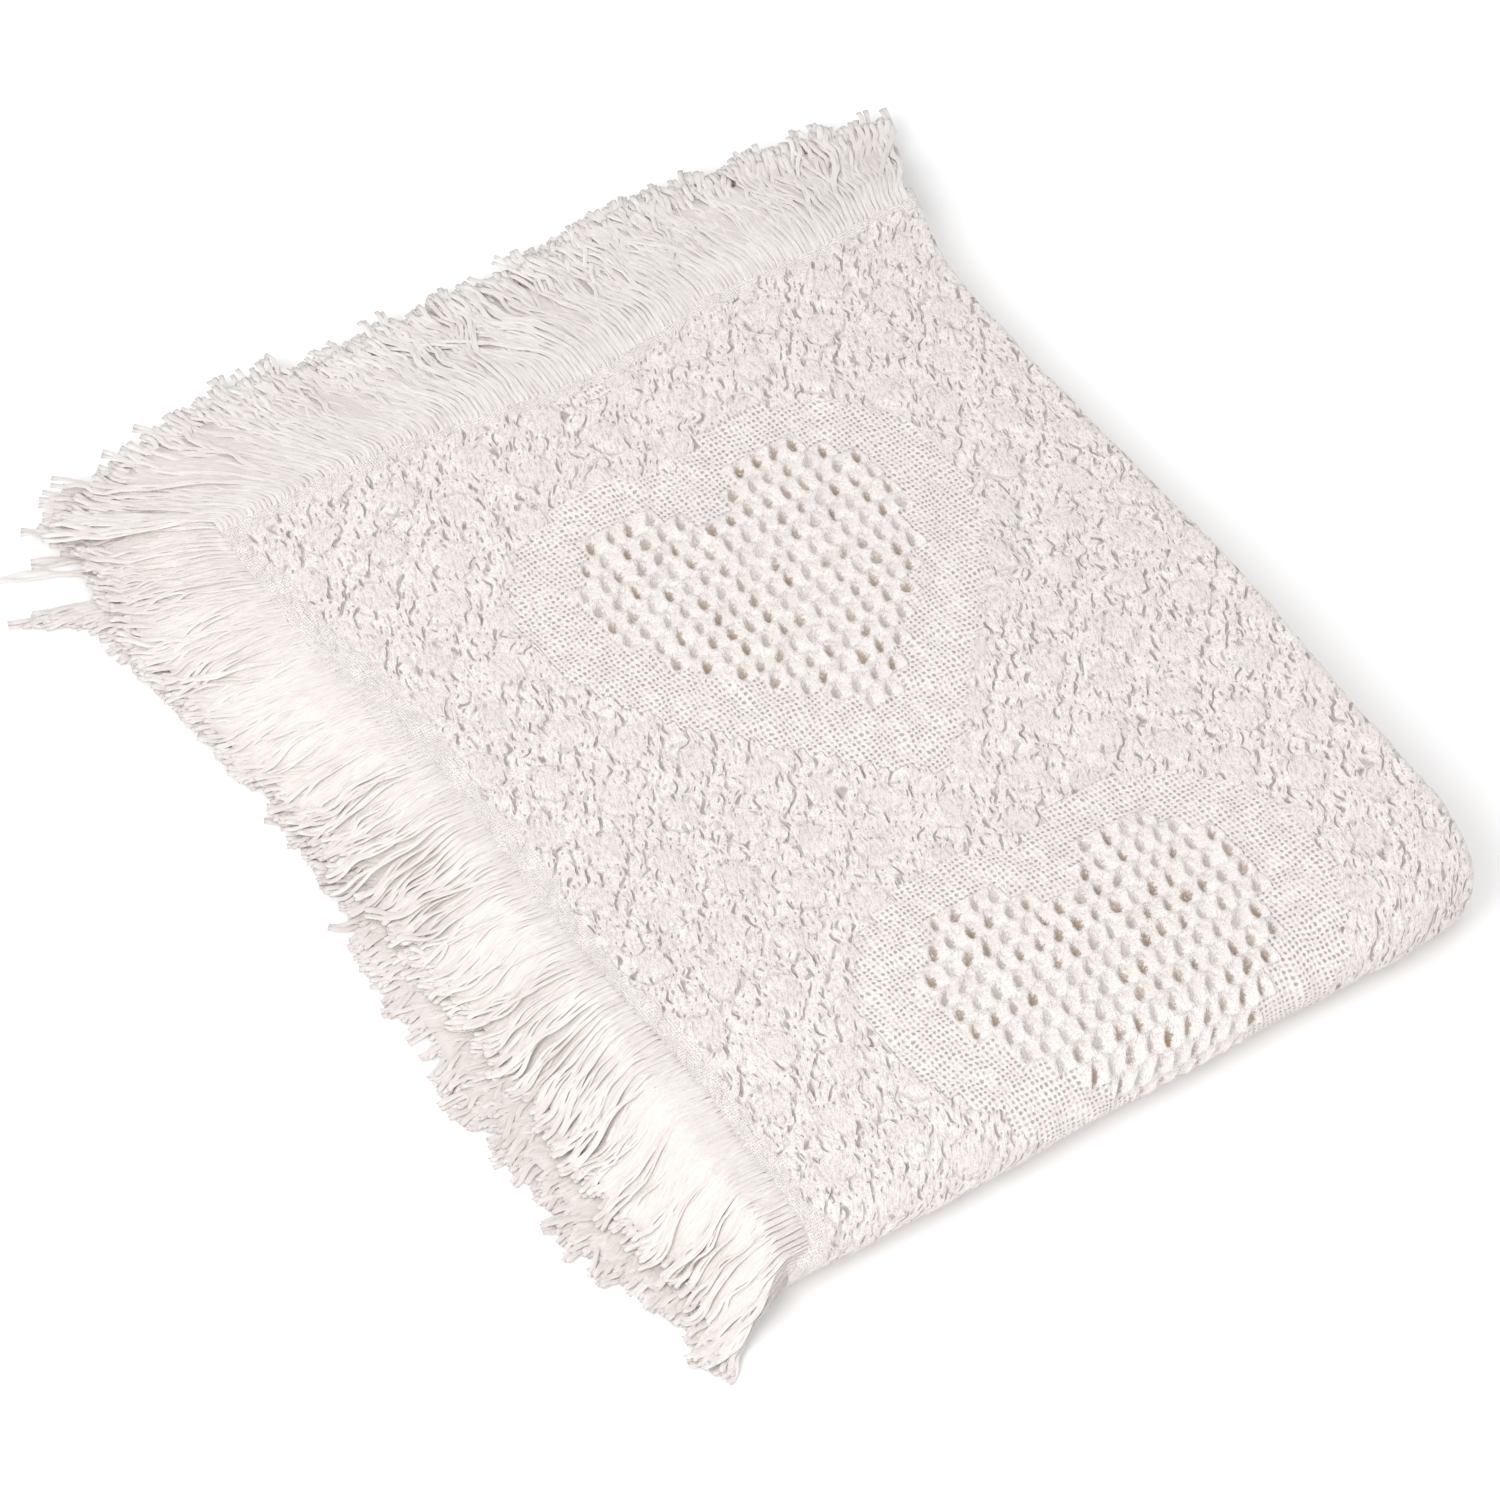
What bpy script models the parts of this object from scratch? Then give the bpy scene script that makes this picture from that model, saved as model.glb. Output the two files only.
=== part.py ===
"""A throw blanket: one thick cotton cloth with fringe on its four sides, folded in thirds and then in half.

Metres, +Z up. X runs across the folded panel, from the cloth's fringed side edge (-X) to the fold of its
thirds (+X). Y runs from the big fold of the halves (-Y) to the fringed ends of all six layers (+Y). The
origin is the middle of the panel's flat underside.

A point of the cloth is found in three steps. The section gives its x, and its height above the half stack's
middle, from the way along the thirds. The stack then carries that height along a U: the upper half runs
from the fringed ends to the big fold, turns round it, and the lower half runs back on the ground. Last, the
laid cloth's unevenness moves the point a little.
"""

import math
import random
from collections import namedtuple

import bmesh
import bpy

# Sizes of the folded panel and its cloth
PANEL_WIDTH = 0.475
PANEL_LENGTH = 0.610
CLOTH_THICKNESS = 0.003

# Heights of the three layers' middles in a half stack, at the fringed ends
INNER, MIDDLE, OUTER = 0.003, 0.009, 0.015
# How many times fatter the stack is at the big fold
FOLD_SWELL = 1.75
# The fold of the thirds at -X lies this far inside the cloth's edge
TUCK = 0.010
# The hidden fringe's tips stay this far inside the fold of the thirds at +X
TIP_ROOM = 0.012

# Fringe: the strip that carries the locks, and the locks
STRIP_WIDTH = 0.005
STRIP_GAP = 0.0004
FRINGE_THICKNESS = 0.002
LOCK_PITCH = 0.020
BEND_LOCK_PITCH = 0.016
HIDDEN_LOCK_PITCH = 0.045
HIDDEN_LOCK_LENGTH = 0.076
HIDDEN_GAP = 0.0008
LOCK_SHARE = 0.86
TIP_SHARE = 0.74
LOCK_ROWS = 3
LENGTH_SPREAD = 0.06
LEAN_SPREAD = 0.0015

# How a fringe lies along its edge: the place, the lean sideways for each metre outwards, and the lock's length
Lay = namedtuple("Lay", "at lean length")

# End fringe, by x as a share of half the panel's width: fanned at both corners
END_LAYS = (
    Lay(-1.00, -1.30, 0.100),
    Lay(-0.86, -0.75, 0.096),
    Lay(-0.62, -0.45, 0.103),
    Lay(-0.20, -0.34, 0.091),
    Lay(0.40, -0.22, 0.088),
    Lay(0.80, 0.10, 0.080),
    Lay(1.00, 0.45, 0.070),
)

# Side fringe, by the share of the whole U, from the upper corner round the big fold to the lower corner
SIDE_LAYS = (
    Lay(0.00, 0.70, 0.084),
    Lay(0.12, 0.36, 0.076),
    Lay(0.30, 0.16, 0.073),
    Lay(0.46, -0.06, 0.070),
    Lay(0.50, -0.30, 0.066),
    Lay(0.54, -0.56, 0.067),
    Lay(0.60, -0.38, 0.083),
    Lay(0.72, -0.10, 0.087),
    Lay(0.80, 0.06, 0.070),
    Lay(0.90, 0.20, 0.062),
    Lay(0.96, 0.26, 0.076),
    Lay(1.00, 0.30, 0.104),
)

# Resting heights of the lock tips: the step between layers at the ends, and the side fringe's upper tier
TIP_STEP = 0.0028
UPPER_TIER_REST = 0.010

# Unevenness of the laid cloth: the corner rounded at the big fold, the hollow of the +X side, the slip of the
# lower layers at the fringed corner, and waves
CORNER_ROUND = 0.080
CORNER_SHARE = 0.50
SIDE_HOLLOW = 0.015
BASE_SLIP = 0.016
Wave = namedtuple("Wave", "size across along shift")
TOP_WAVES = (
    Wave(0.0018, 2.9, 4.7, 0.0),
    Wave(0.0018, 5.5, -2.5, 0.0),
    Wave(0.0021, 2.0, 9.0, 0.7),
)
SIDE_WAVES = (Wave(0.0015, 0.0, 5.1, 0.6),)
END_WAVES = (Wave(0.0015, 3.3, 0.0, 0.4),)

# How many steps the cloth's section and its U are drawn with
OUTER_STEPS = 10
WIDE_FOLD_STEPS = 6
INNER_STEPS = 8
TIGHT_FOLD_STEPS = 5
FLAP_STEPS = 6
STRAIGHT_STEPS = 14
BEND_STEPS = 9
FOLD_STRIP_STEPS = 4
# Steps near a rounded corner are shorter by this power, and this share of it along the U
CLOSING_POWER = 1.5
CLOSING_SHARE = 0.6

HALF_WIDTH = PANEL_WIDTH / 2
HALF_LENGTH = PANEL_LENGTH / 2
HALF_THICKNESS = CLOTH_THICKNESS / 2
FOLD_RADIUS = OUTER * FOLD_SWELL + HALF_THICKNESS
FOLD_Y = -HALF_LENGTH + FOLD_RADIUS
STRAIGHT_RUN = HALF_LENGTH - FOLD_Y
BEND_RUN = math.pi * OUTER * FOLD_SWELL
WHOLE_RUN = 2 * STRAIGHT_RUN + BEND_RUN
HIGHEST = 2 * FOLD_RADIUS

# The two folds of the thirds, as the x of their centres and their radii
WIDE_RADIUS = (OUTER - INNER) / 2
WIDE_X = HALF_WIDTH - HALF_THICKNESS - WIDE_RADIUS
TIGHT_RADIUS = (MIDDLE - INNER) / 2
TIGHT_X = -HALF_WIDTH + TUCK + HALF_THICKNESS + TIGHT_RADIUS
# The inner third ends where its own fringe still fits inside the wide fold
FLAP_END = HALF_WIDTH - TIP_ROOM - HIDDEN_GAP - HIDDEN_LOCK_LENGTH

CLOTH_COLOUR = (0.806, 0.745, 0.716, 1.0)
CLOTH_ROUGHNESS = 0.95
FRINGE_COLOUR = (0.855, 0.806, 0.783, 1.0)
FRINGE_ROUGHNESS = 0.92

# The section's stretches: a straight run at its height from a side, or a half turn about its centre
Stretch = namedtuple("Stretch", "straight length height x way")
STRETCHES = (
    Stretch(True, WIDE_X + HALF_WIDTH, OUTER, -HALF_WIDTH, 1),
    Stretch(False, math.pi * WIDE_RADIUS, MIDDLE, WIDE_X, 1),
    Stretch(True, WIDE_X - TIGHT_X, INNER, WIDE_X, -1),
    Stretch(False, math.pi * TIGHT_RADIUS, (INNER + MIDDLE) / 2, TIGHT_X, -1),
    Stretch(True, FLAP_END - TIGHT_X, MIDDLE, TIGHT_X, 1),
)

# A stretch of fringe along an edge: only some carry a lock
Span = namedtuple("Span", "start end lock")


def smooth(share):
    """0 to 1 with level ends."""
    share = min(max(share, 0.0), 1.0)
    return share * share * (3 - 2 * share)


def blend(low, high, share):
    return low + (high - low) * share


def uneven(index, kind):
    """A fixed number from -1 to 1 for each lock and each kind of unevenness."""
    return random.Random(1000 * kind + index).uniform(-1.0, 1.0)


def swell(y):
    """How many times fatter the stack is here than at the fringed ends."""
    return blend(1.0, FOLD_SWELL, smooth((HALF_LENGTH - y) / STRAIGHT_RUN))


def stack(height, run):
    """(y, z) of a layer at this height in its half stack, and this far along the U."""
    if run < STRAIGHT_RUN:
        y = HALF_LENGTH - run
        return y, (OUTER + height) * swell(y) + HALF_THICKNESS
    if run <= STRAIGHT_RUN + BEND_RUN:
        turn = math.pi * (run - STRAIGHT_RUN) / BEND_RUN
        radius = height * FOLD_SWELL
        return FOLD_Y - radius * math.sin(turn), FOLD_RADIUS + radius * math.cos(turn)
    y = FOLD_Y + run - STRAIGHT_RUN - BEND_RUN
    return y, (OUTER - height) * swell(y) + HALF_THICKNESS


def ripple(waves, across, along):
    return sum(w.size * math.sin(w.across * across + w.along * along + w.shift) for w in waves)


def round_corner(x, y):
    """Draws the corner between the big fold and the fold of the thirds inwards."""
    a = (x - HALF_WIDTH + CORNER_ROUND) / CORNER_ROUND
    b = (-y - HALF_LENGTH + CORNER_ROUND) / CORNER_ROUND
    if a <= 0 or b <= 0:
        return x, y
    draw = CORNER_SHARE * CORNER_ROUND
    x -= draw * a * (1 - math.sqrt(max(0.0, 1 - b * b / 2)))
    y += draw * b * (1 - math.sqrt(max(0.0, 1 - a * a / 2)))
    return x, y


def settle(x, y, z):
    """Moves a point as the laid cloth is uneven."""
    across, along = x / HALF_WIDTH, y / HALF_LENGTH
    lift = max(0.0, z - CLOTH_THICKNESS) / (HIGHEST - CLOTH_THICKNESS)
    x, y = round_corner(x, y)
    hollow = smooth((along + 0.4) / 1.1) * smooth((1.05 - along) / 0.28)
    x -= SIDE_HOLLOW * hollow * ((1 + across) / 2) ** 4
    x -= BASE_SLIP * smooth(along) * (1 - min(lift, 1.0)) * ((1 - across) / 2) ** 2
    x += ripple(SIDE_WAVES, across, along)
    y += ripple(END_WAVES, across, along)
    return x, y, z + ripple(TOP_WAVES, across, along) * lift * lift


def closing(low, high, count):
    """Steps from low to high that grow shorter, for a stretch that ends at a rounded corner."""
    return [blend(low, high, 1 - (1 - k / count) ** CLOSING_POWER) for k in range(count + 1)]


def section_points():
    """The cloth's section, a letter C with its end tucked in, as (x, height) from the side edge inwards."""
    points = [(x, OUTER) for x in closing(-HALF_WIDTH, WIDE_X, OUTER_STEPS)]
    for k in range(1, WIDE_FOLD_STEPS):
        turn = math.pi * k / WIDE_FOLD_STEPS
        points.append((WIDE_X + WIDE_RADIUS * math.sin(turn), MIDDLE + WIDE_RADIUS * math.cos(turn)))
    points += [(x, INNER) for x in reversed(closing(TIGHT_X, WIDE_X, INNER_STEPS))]
    centre = (INNER + MIDDLE) / 2
    for k in range(1, TIGHT_FOLD_STEPS):
        turn = math.pi * k / TIGHT_FOLD_STEPS
        points.append((TIGHT_X - TIGHT_RADIUS * math.sin(turn), centre - TIGHT_RADIUS * math.cos(turn)))
    points += [(blend(TIGHT_X, FLAP_END, k / FLAP_STEPS), MIDDLE) for k in range(FLAP_STEPS + 1)]
    return points


def run_stations():
    """How far along the U the cloth's cross lines lie."""
    half = []
    for k, late in enumerate(closing(0.0, STRAIGHT_RUN, STRAIGHT_STEPS)):
        even = STRAIGHT_RUN * k / STRAIGHT_STEPS
        half.append(blend(even, late, CLOSING_SHARE))
    bend = [STRAIGHT_RUN + BEND_RUN * k / BEND_STEPS for k in range(1, BEND_STEPS)]
    return half + bend + [WHOLE_RUN - run for run in reversed(half)]


def add_material(name, colour, roughness):
    material = bpy.data.materials.new(name)
    material.use_nodes = True
    shader = material.node_tree.nodes["Principled BSDF"]
    shader.inputs["Base Color"].default_value = colour
    shader.inputs["Roughness"].default_value = roughness
    shader.inputs["Metallic"].default_value = 0.0
    return material


def grid_mesh(columns, rows):
    """A grid with this many faces each way, and each of its points as (vertex, column, row)."""
    grid = bmesh.new()
    bmesh.ops.create_grid(grid, x_segments=columns, y_segments=rows, size=0.5)
    grid.verts.ensure_lookup_table()
    placed = []
    for vertex in grid.verts:
        column = round((vertex.co.x + 0.5) * columns)
        row = round((vertex.co.y + 0.5) * rows)
        placed.append((vertex, column, row))
    return grid, placed


def add_sheet(name, grid, thickness, material, collection):
    """The grid as an object, thickened evenly to both sides."""
    mesh = bpy.data.meshes.new(name)
    bmesh.ops.recalc_face_normals(grid, faces=grid.faces)
    grid.to_mesh(mesh)
    grid.free()
    mesh.shade_smooth()
    mesh.materials.append(material)
    piece = bpy.data.objects.new(name, mesh)
    collection.objects.link(piece)
    solidify = piece.modifiers.new("Thickness", "SOLIDIFY")
    solidify.thickness = thickness
    solidify.offset = 0.0
    solidify.use_even_offset = True
    solidify.use_quality_normals = True
    return piece


def add_cloth(material, collection):
    """The whole cloth, its hems included, in its folds."""
    section, stations = section_points(), run_stations()
    grid, placed = grid_mesh(len(section) - 1, len(stations) - 1)
    for vertex, column, row in placed:
        x, height = section[column]
        y, z = stack(height, stations[row])
        vertex.co = settle(x, y, z)
    return add_sheet("cloth", grid, CLOTH_THICKNESS, material, collection)


def lock_spans(start, length, pitch):
    """Spans of a straight stretch of edge, with a gap before, between and after the locks."""
    count = max(1, int(length / pitch))
    step = length / count
    gap = step * (1 - LOCK_SHARE) / 2
    spans = []
    last = start
    for k in range(count):
        low = start + k * step + gap
        high = start + (k + 1) * step - gap
        spans += [Span(last, low, False), Span(low, high, True)]
        last = high
    return spans + [Span(last, start + length, False)]


def side_spans(pitch):
    """Spans along the U: at this pitch on its straight runs, and close together round the big fold."""
    spans = lock_spans(0.0, STRAIGHT_RUN, pitch)
    spans += lock_spans(STRAIGHT_RUN, BEND_RUN, BEND_LOCK_PITCH)
    return spans + lock_spans(STRAIGHT_RUN + BEND_RUN, STRAIGHT_RUN, pitch)


def end_spans():
    """Spans along the section: locks on its straight stretches, and none round its folds."""
    spans = []
    start = 0.0
    for stretch in STRETCHES:
        if stretch.straight:
            spans += lock_spans(start, stretch.length, LOCK_PITCH)
        else:
            step = stretch.length / FOLD_STRIP_STEPS
            spans += [Span(start + step * k, start + step * (k + 1), False) for k in range(FOLD_STRIP_STEPS)]
        start += stretch.length
    return spans


def add_fringe(name, spans, edge_point, lock_point, material, collection):
    """A strip along an edge with locks on its outer side, one solid.

    edge_point(along, out) gives the strip's points. lock_point(along, half, share, index) gives a lock's
    points: half is half its width there, to either side, and share runs from 0 at the strip to 1 at the tip.
    """
    rows = LOCK_ROWS + 1
    grid, placed = grid_mesh(len(spans), rows)
    at = {(column, row): vertex for vertex, column, row in placed}
    gaps = []
    for face in grid.faces:
        centre = face.calc_center_median()
        column = round((centre.x + 0.5) * len(spans) - 0.5)
        row = round((centre.y + 0.5) * rows - 0.5)
        if row > 0 and not spans[column].lock:
            gaps.append(face)
    bounds = [spans[0].start] + [span.end for span in spans]
    for column, along in enumerate(bounds):
        at[column, 0].co = edge_point(along, STRIP_GAP)
        at[column, 1].co = edge_point(along, STRIP_GAP + STRIP_WIDTH)
    locks = [column for column, span in enumerate(spans) if span.lock]
    for index, column in enumerate(locks):
        span = spans[column]
        middle = (span.start + span.end) / 2
        for row in range(2, rows + 1):
            share = (row - 1) / LOCK_ROWS
            half = (span.end - span.start) / 2 * blend(1.0, TIP_SHARE, share)
            at[column, row].co = lock_point(middle, -half, share, index)
            at[column + 1, row].co = lock_point(middle, half, share, index)
    bmesh.ops.delete(grid, geom=gaps, context="FACES")
    return add_sheet(name, grid, FRINGE_THICKNESS, material, collection)


def lay_at(lays, at):
    """(lean, length) of the locks here, blended between the table's rows."""
    rows = [(low, high) for low, high in zip(lays, lays[1:]) if at <= high.at]
    low, high = rows[0] if rows else (lays[-1], lays[-1])
    share = smooth((at - low.at) / (high.at - low.at)) if high.at > low.at else 0.0
    return blend(low.lean, high.lean, share), blend(low.length, high.length, share)


def end_section(along):
    """(x, height) this far along the section, from the side edge inwards."""
    for stretch in STRETCHES:
        if along <= stretch.length or stretch is STRETCHES[-1]:
            break
        along -= stretch.length
    if stretch.straight:
        return stretch.x + stretch.way * along, stretch.height
    turn = math.pi * along / stretch.length
    radius = stretch.way * stretch.length / math.pi
    return stretch.x + radius * math.sin(turn), stretch.height + radius * math.cos(turn)


def add_end_fringe(name, upper, material, collection):
    """The fringe at the +Y ends of three layers, upper or lower, drooping to its resting heights."""
    run = 0.0 if upper else WHOLE_RUN

    def edge_point(along, out):
        x, height = end_section(along)
        y, z = stack(height, run)
        return settle(x, y + out, z)

    def lock_point(along, half, share, index):
        x, height = end_section(along)
        _, z = stack(height, run)
        layer = round((height - INNER) / (MIDDLE - INNER))
        step = 3 + layer if upper else 2 - layer
        rest = FRINGE_THICKNESS / 2 + TIP_STEP * step
        lean, length = lay_at(END_LAYS, x / HALF_WIDTH)
        length *= 1 + LENGTH_SPREAD * uneven(index, 1)
        reach = length / math.sqrt(1 + lean * lean)
        out = STRIP_GAP + blend(STRIP_WIDTH, reach, share)
        way = -1 if height == INNER else 1
        x += lean * out + LEAN_SPREAD * uneven(index, 2) * share + way * half
        return settle(x, HALF_LENGTH + out, blend(z, rest, smooth(share * 1.15)))

    return add_fringe(name, end_spans(), edge_point, lock_point, material, collection)


def add_side_fringe(material, collection):
    """The fringe of the cloth's outer side edge: an upper tier, a fan round the big fold, a tier on the ground."""
    ahead = 0.001

    def edge_point(along, out):
        y, z = stack(OUTER, along)
        return settle(-HALF_WIDTH - out, y, z)

    def lock_point(along, half, share, index):
        y, z = stack(OUTER, along)
        ahead_y, ahead_z = stack(OUTER, along + ahead)
        low = FRINGE_THICKNESS / 2
        rest = blend(low, UPPER_TIER_REST, (z - HALF_THICKNESS) / (2 * OUTER * swell(y)))
        drop = z - rest
        lean, length = lay_at(SIDE_LAYS, along / WHOLE_RUN)
        length *= 1 + LENGTH_SPREAD * uneven(index, 3)
        reach = math.sqrt((length * length - drop * drop) / (1 + lean * lean))
        out = STRIP_GAP + blend(STRIP_WIDTH, reach, share)
        flat = smooth(share * 1.3)
        wide_y = half * blend((ahead_y - y) / ahead, -1.0 if z > FOLD_RADIUS else 1.0, flat)
        wide_z = half * blend((ahead_z - z) / ahead, 0.0, flat)
        z = blend(z, rest, smooth(share * 1.1)) + wide_z
        return settle(-HALF_WIDTH - out, y + lean * out + wide_y, z)

    spans = side_spans(LOCK_PITCH)
    return add_fringe("fringe_side_outer", spans, edge_point, lock_point, material, collection)


def add_hidden_fringe(material, collection):
    """The fringe of the other side edge, flat between the layers and inside the wide fold."""

    start = FLAP_END + HIDDEN_GAP

    def edge_point(along, out):
        y, z = stack(MIDDLE, along)
        return settle(start + out - STRIP_GAP, y, z)

    def lock_point(along, half, share, index):
        length = HIDDEN_LOCK_LENGTH * (1 - LENGTH_SPREAD * abs(uneven(index, 4)))
        y, z = stack(MIDDLE, along + half)
        return settle(start + blend(STRIP_WIDTH, length, share), y, z)

    spans = side_spans(HIDDEN_LOCK_PITCH)
    return add_fringe("fringe_side_inner", spans, edge_point, lock_point, material, collection)


def main():
    for thing in list(bpy.data.objects):
        bpy.data.objects.remove(thing, do_unlink=True)
    collection = bpy.data.collections.new("throw_blanket")
    bpy.context.scene.collection.children.link(collection)
    cotton = add_material("cotton_cloth", CLOTH_COLOUR, CLOTH_ROUGHNESS)
    yarn = add_material("cotton_fringe", FRINGE_COLOUR, FRINGE_ROUGHNESS)
    add_cloth(cotton, collection)
    add_side_fringe(yarn, collection)
    add_hidden_fringe(yarn, collection)
    add_end_fringe("fringe_end_upper", True, yarn, collection)
    add_end_fringe("fringe_end_lower", False, yarn, collection)


main()
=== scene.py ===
"""Looks of the folded throw blanket: woven cloth in its folds, yarns of its fringe, floor, light and camera.

The cloth is modelled flat, in cloth coordinates, and then folded. s runs across the thirds from the side edge
that shows, and t runs along the halves from the end edge on top. The weave repeats in cells; p and q count
them from the middle of the upper heart, across and along.
"""

import math
from collections import namedtuple

import bmesh
import bpy
import numpy as np
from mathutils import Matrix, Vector


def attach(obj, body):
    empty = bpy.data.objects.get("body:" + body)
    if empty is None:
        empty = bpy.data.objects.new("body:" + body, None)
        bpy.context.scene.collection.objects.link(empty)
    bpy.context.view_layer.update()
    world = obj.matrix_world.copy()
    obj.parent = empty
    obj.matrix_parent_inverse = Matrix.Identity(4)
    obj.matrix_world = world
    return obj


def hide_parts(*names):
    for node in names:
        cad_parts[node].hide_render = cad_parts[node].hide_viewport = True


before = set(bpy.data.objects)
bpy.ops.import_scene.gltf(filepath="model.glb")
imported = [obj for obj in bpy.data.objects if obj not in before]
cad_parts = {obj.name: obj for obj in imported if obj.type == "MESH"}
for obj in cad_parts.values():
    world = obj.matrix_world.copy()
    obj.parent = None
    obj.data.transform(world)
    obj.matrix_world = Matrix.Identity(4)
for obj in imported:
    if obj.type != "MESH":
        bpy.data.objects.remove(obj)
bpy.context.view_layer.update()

MM = 0.001

# Sizes of the folded panel, as the part has them
PANEL_WIDTH = 0.475
PANEL_LENGTH = 0.610
CLOTH_THICKNESS = 0.003
INNER, MIDDLE, OUTER = 0.003, 0.009, 0.015
FOLD_SWELL = 1.75
TUCK = 0.010
TIP_ROOM = 0.012
HIDDEN_GAP = 0.0008
HIDDEN_LOCK_LENGTH = 0.076

# Lay of the fringe's yarns at places along each edge, as the part has it
Lay = namedtuple("Lay", "at lean length")
END_LAYS = (
    Lay(-1.00, -1.40, 0.100),
    Lay(-0.86, -0.75, 0.096),
    Lay(-0.62, -0.45, 0.103),
    Lay(-0.20, -0.34, 0.091),
    Lay(0.40, -0.22, 0.088),
    Lay(0.80, 0.10, 0.080),
    Lay(1.00, 0.45, 0.070),
)
SIDE_LAYS = (
    Lay(0.00, 0.85, 0.084),
    Lay(0.12, 0.36, 0.076),
    Lay(0.30, 0.16, 0.073),
    Lay(0.46, -0.06, 0.070),
    Lay(0.50, -0.30, 0.066),
    Lay(0.54, -0.56, 0.067),
    Lay(0.60, -0.38, 0.083),
    Lay(0.72, -0.10, 0.087),
    Lay(0.80, 0.06, 0.070),
    Lay(0.90, 0.20, 0.062),
    Lay(0.96, 0.26, 0.076),
    Lay(1.00, 0.30, 0.104),
)
TIP_STEP = 0.0028
UPPER_TIER_REST = 0.005
FAN_LIFT = 0.005
FAN_RUN = 0.060

# Where the yarns leave that lay: past the fold of the thirds, at the corner, and in the tuft
END_SPREAD = 0.016
SPREAD_DRAWN_IN = 0.8
CORNER_RUN = 0.012
CORNER_WIDTH = 0.018
CORNER_SPLAY = 0.6
CORNER_SINK = 0.0016
TUFT_WIDTH = 0.040
TUFT_PULL = 0.60
TUFT_CALM = 0.8

# Unevenness of the laid cloth, as the part has it
CORNER_ROUND = 0.080
CORNER_SHARE = 0.50
SIDE_HOLLOW = 0.015
BASE_SLIP = 0.016
Wave = namedtuple("Wave", "size across along shift")
TOP_WAVES = (
    Wave(0.0018, 2.9, 4.7, 0.0),
    Wave(0.0018, 5.5, -2.5, 0.0),
    Wave(0.0021, 2.0, 9.0, 0.7),
)
SIDE_WAVES = (Wave(0.0015, 0.0, 5.1, 0.6),)
END_WAVES = (Wave(0.0015, 3.3, 0.0, 0.4),)

HALF_WIDTH = PANEL_WIDTH / 2
HALF_LENGTH = PANEL_LENGTH / 2
HALF_THICKNESS = CLOTH_THICKNESS / 2
FOLD_RADIUS = OUTER * FOLD_SWELL + HALF_THICKNESS
FOLD_Y = -HALF_LENGTH + FOLD_RADIUS
STRAIGHT_RUN = HALF_LENGTH - FOLD_Y
BEND_RUN = math.pi * OUTER * FOLD_SWELL
WHOLE_RUN = 2 * STRAIGHT_RUN + BEND_RUN
HIGHEST = 2 * FOLD_RADIUS
WIDE_RADIUS = (OUTER - INNER) / 2
WIDE_X = HALF_WIDTH - HALF_THICKNESS - WIDE_RADIUS
TIGHT_RADIUS = (MIDDLE - INNER) / 2
TIGHT_X = -HALF_WIDTH + TUCK + HALF_THICKNESS + TIGHT_RADIUS
FLAP_END = HALF_WIDTH - TIP_ROOM - HIDDEN_GAP - HIDDEN_LOCK_LENGTH

Stretch = namedtuple("Stretch", "straight length height x way")
STRETCHES = (
    Stretch(True, WIDE_X + HALF_WIDTH, OUTER, -HALF_WIDTH, 1),
    Stretch(False, math.pi * WIDE_RADIUS, MIDDLE, WIDE_X, 1),
    Stretch(True, WIDE_X - TIGHT_X, INNER, WIDE_X, -1),
    Stretch(False, math.pi * TIGHT_RADIUS, (INNER + MIDDLE) / 2, TIGHT_X, -1),
    Stretch(True, FLAP_END - TIGHT_X, MIDDLE, TIGHT_X, 1),
)

# The weave's cell, the middle of the upper heart, and how many cells apart the hearts repeat
CELL_S = 12.57 * MM
CELL_T = 14.2 * MM
HEART_S = 0.244
HEART_T = 0.224
SHEAR = 0.047
HEARTS_ACROSS = 36
HEARTS_ALONG = 24

# A heart in cells: two round lobes over a tapered body, and how far the flat weave grows round it
MIDDLE_ROW = 7.5
LOBE_RADIUS = 4.05
LOBE_SIDE = 4.1
LOBE_ROW = 4.9
LOBE_STRETCH = 0.93
BODY_HALF = 8.1
BODY_ROW = 5.0
BODY_ROWS = 9.6
BODY_BEND = 1.6
PLAIN_BORDER = 3.1

# The honeycomb in cells: slanting pits, and puffed floats that arch and crest between them
PIT_LEAN = 0.45
PIT_WIDTH = 0.19
PIT_LENGTH = 0.34
PIT_DEPTHS = (1.2, 2.8)
PUFF_HEIGHT = 0.7
CREST_HEIGHT = 0.7
CELLS_UNEVEN = 0.6
ARCH_TOP = -0.46
ARCH_BEND = 1.0
CREST = -0.24
STRAY = 0.13
STRAY_SIZE = 0.8

# The crinkled ground: round buttons, with ridges and short slits between them
BUTTON_EDGE = 0.95
BUTTON_HEIGHT = 0.75
FLOAT_HEIGHT = 0.4
GROUND_STRAY = 0.22
GROUND_UNEVEN = 0.28
RIDGES = 2.6
RIDGE_LEAN = 0.40
SLIT_PHASE = 0.22

# The hems: how deep inside the edge the fringe's yarns leave the cloth, and the dense band that follows
Root = namedtuple("Root", "place depth")
SIDE_ROOTS = (
    Root(0.00, 0.002), Root(0.08, 0.006), Root(0.17, 0.012), Root(0.33, 0.012),
    Root(0.41, 0.014), Root(0.50, 0.021), Root(0.62, 0.018),
)
END_ROOTS = (
    Root(0.00, 0.008), Root(0.06, 0.006), Root(0.12, 0.008), Root(0.15, 0.013), Root(0.21, 0.023),
    Root(0.25, 0.024), Root(0.33, 0.012), Root(0.39, 0.015), Root(0.44, 0.009),
)
HEM_FINER = 2.2
HEM_EDGE = 4 * MM
SIDE_BAND = 0.013
END_BAND = 0.007

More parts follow.
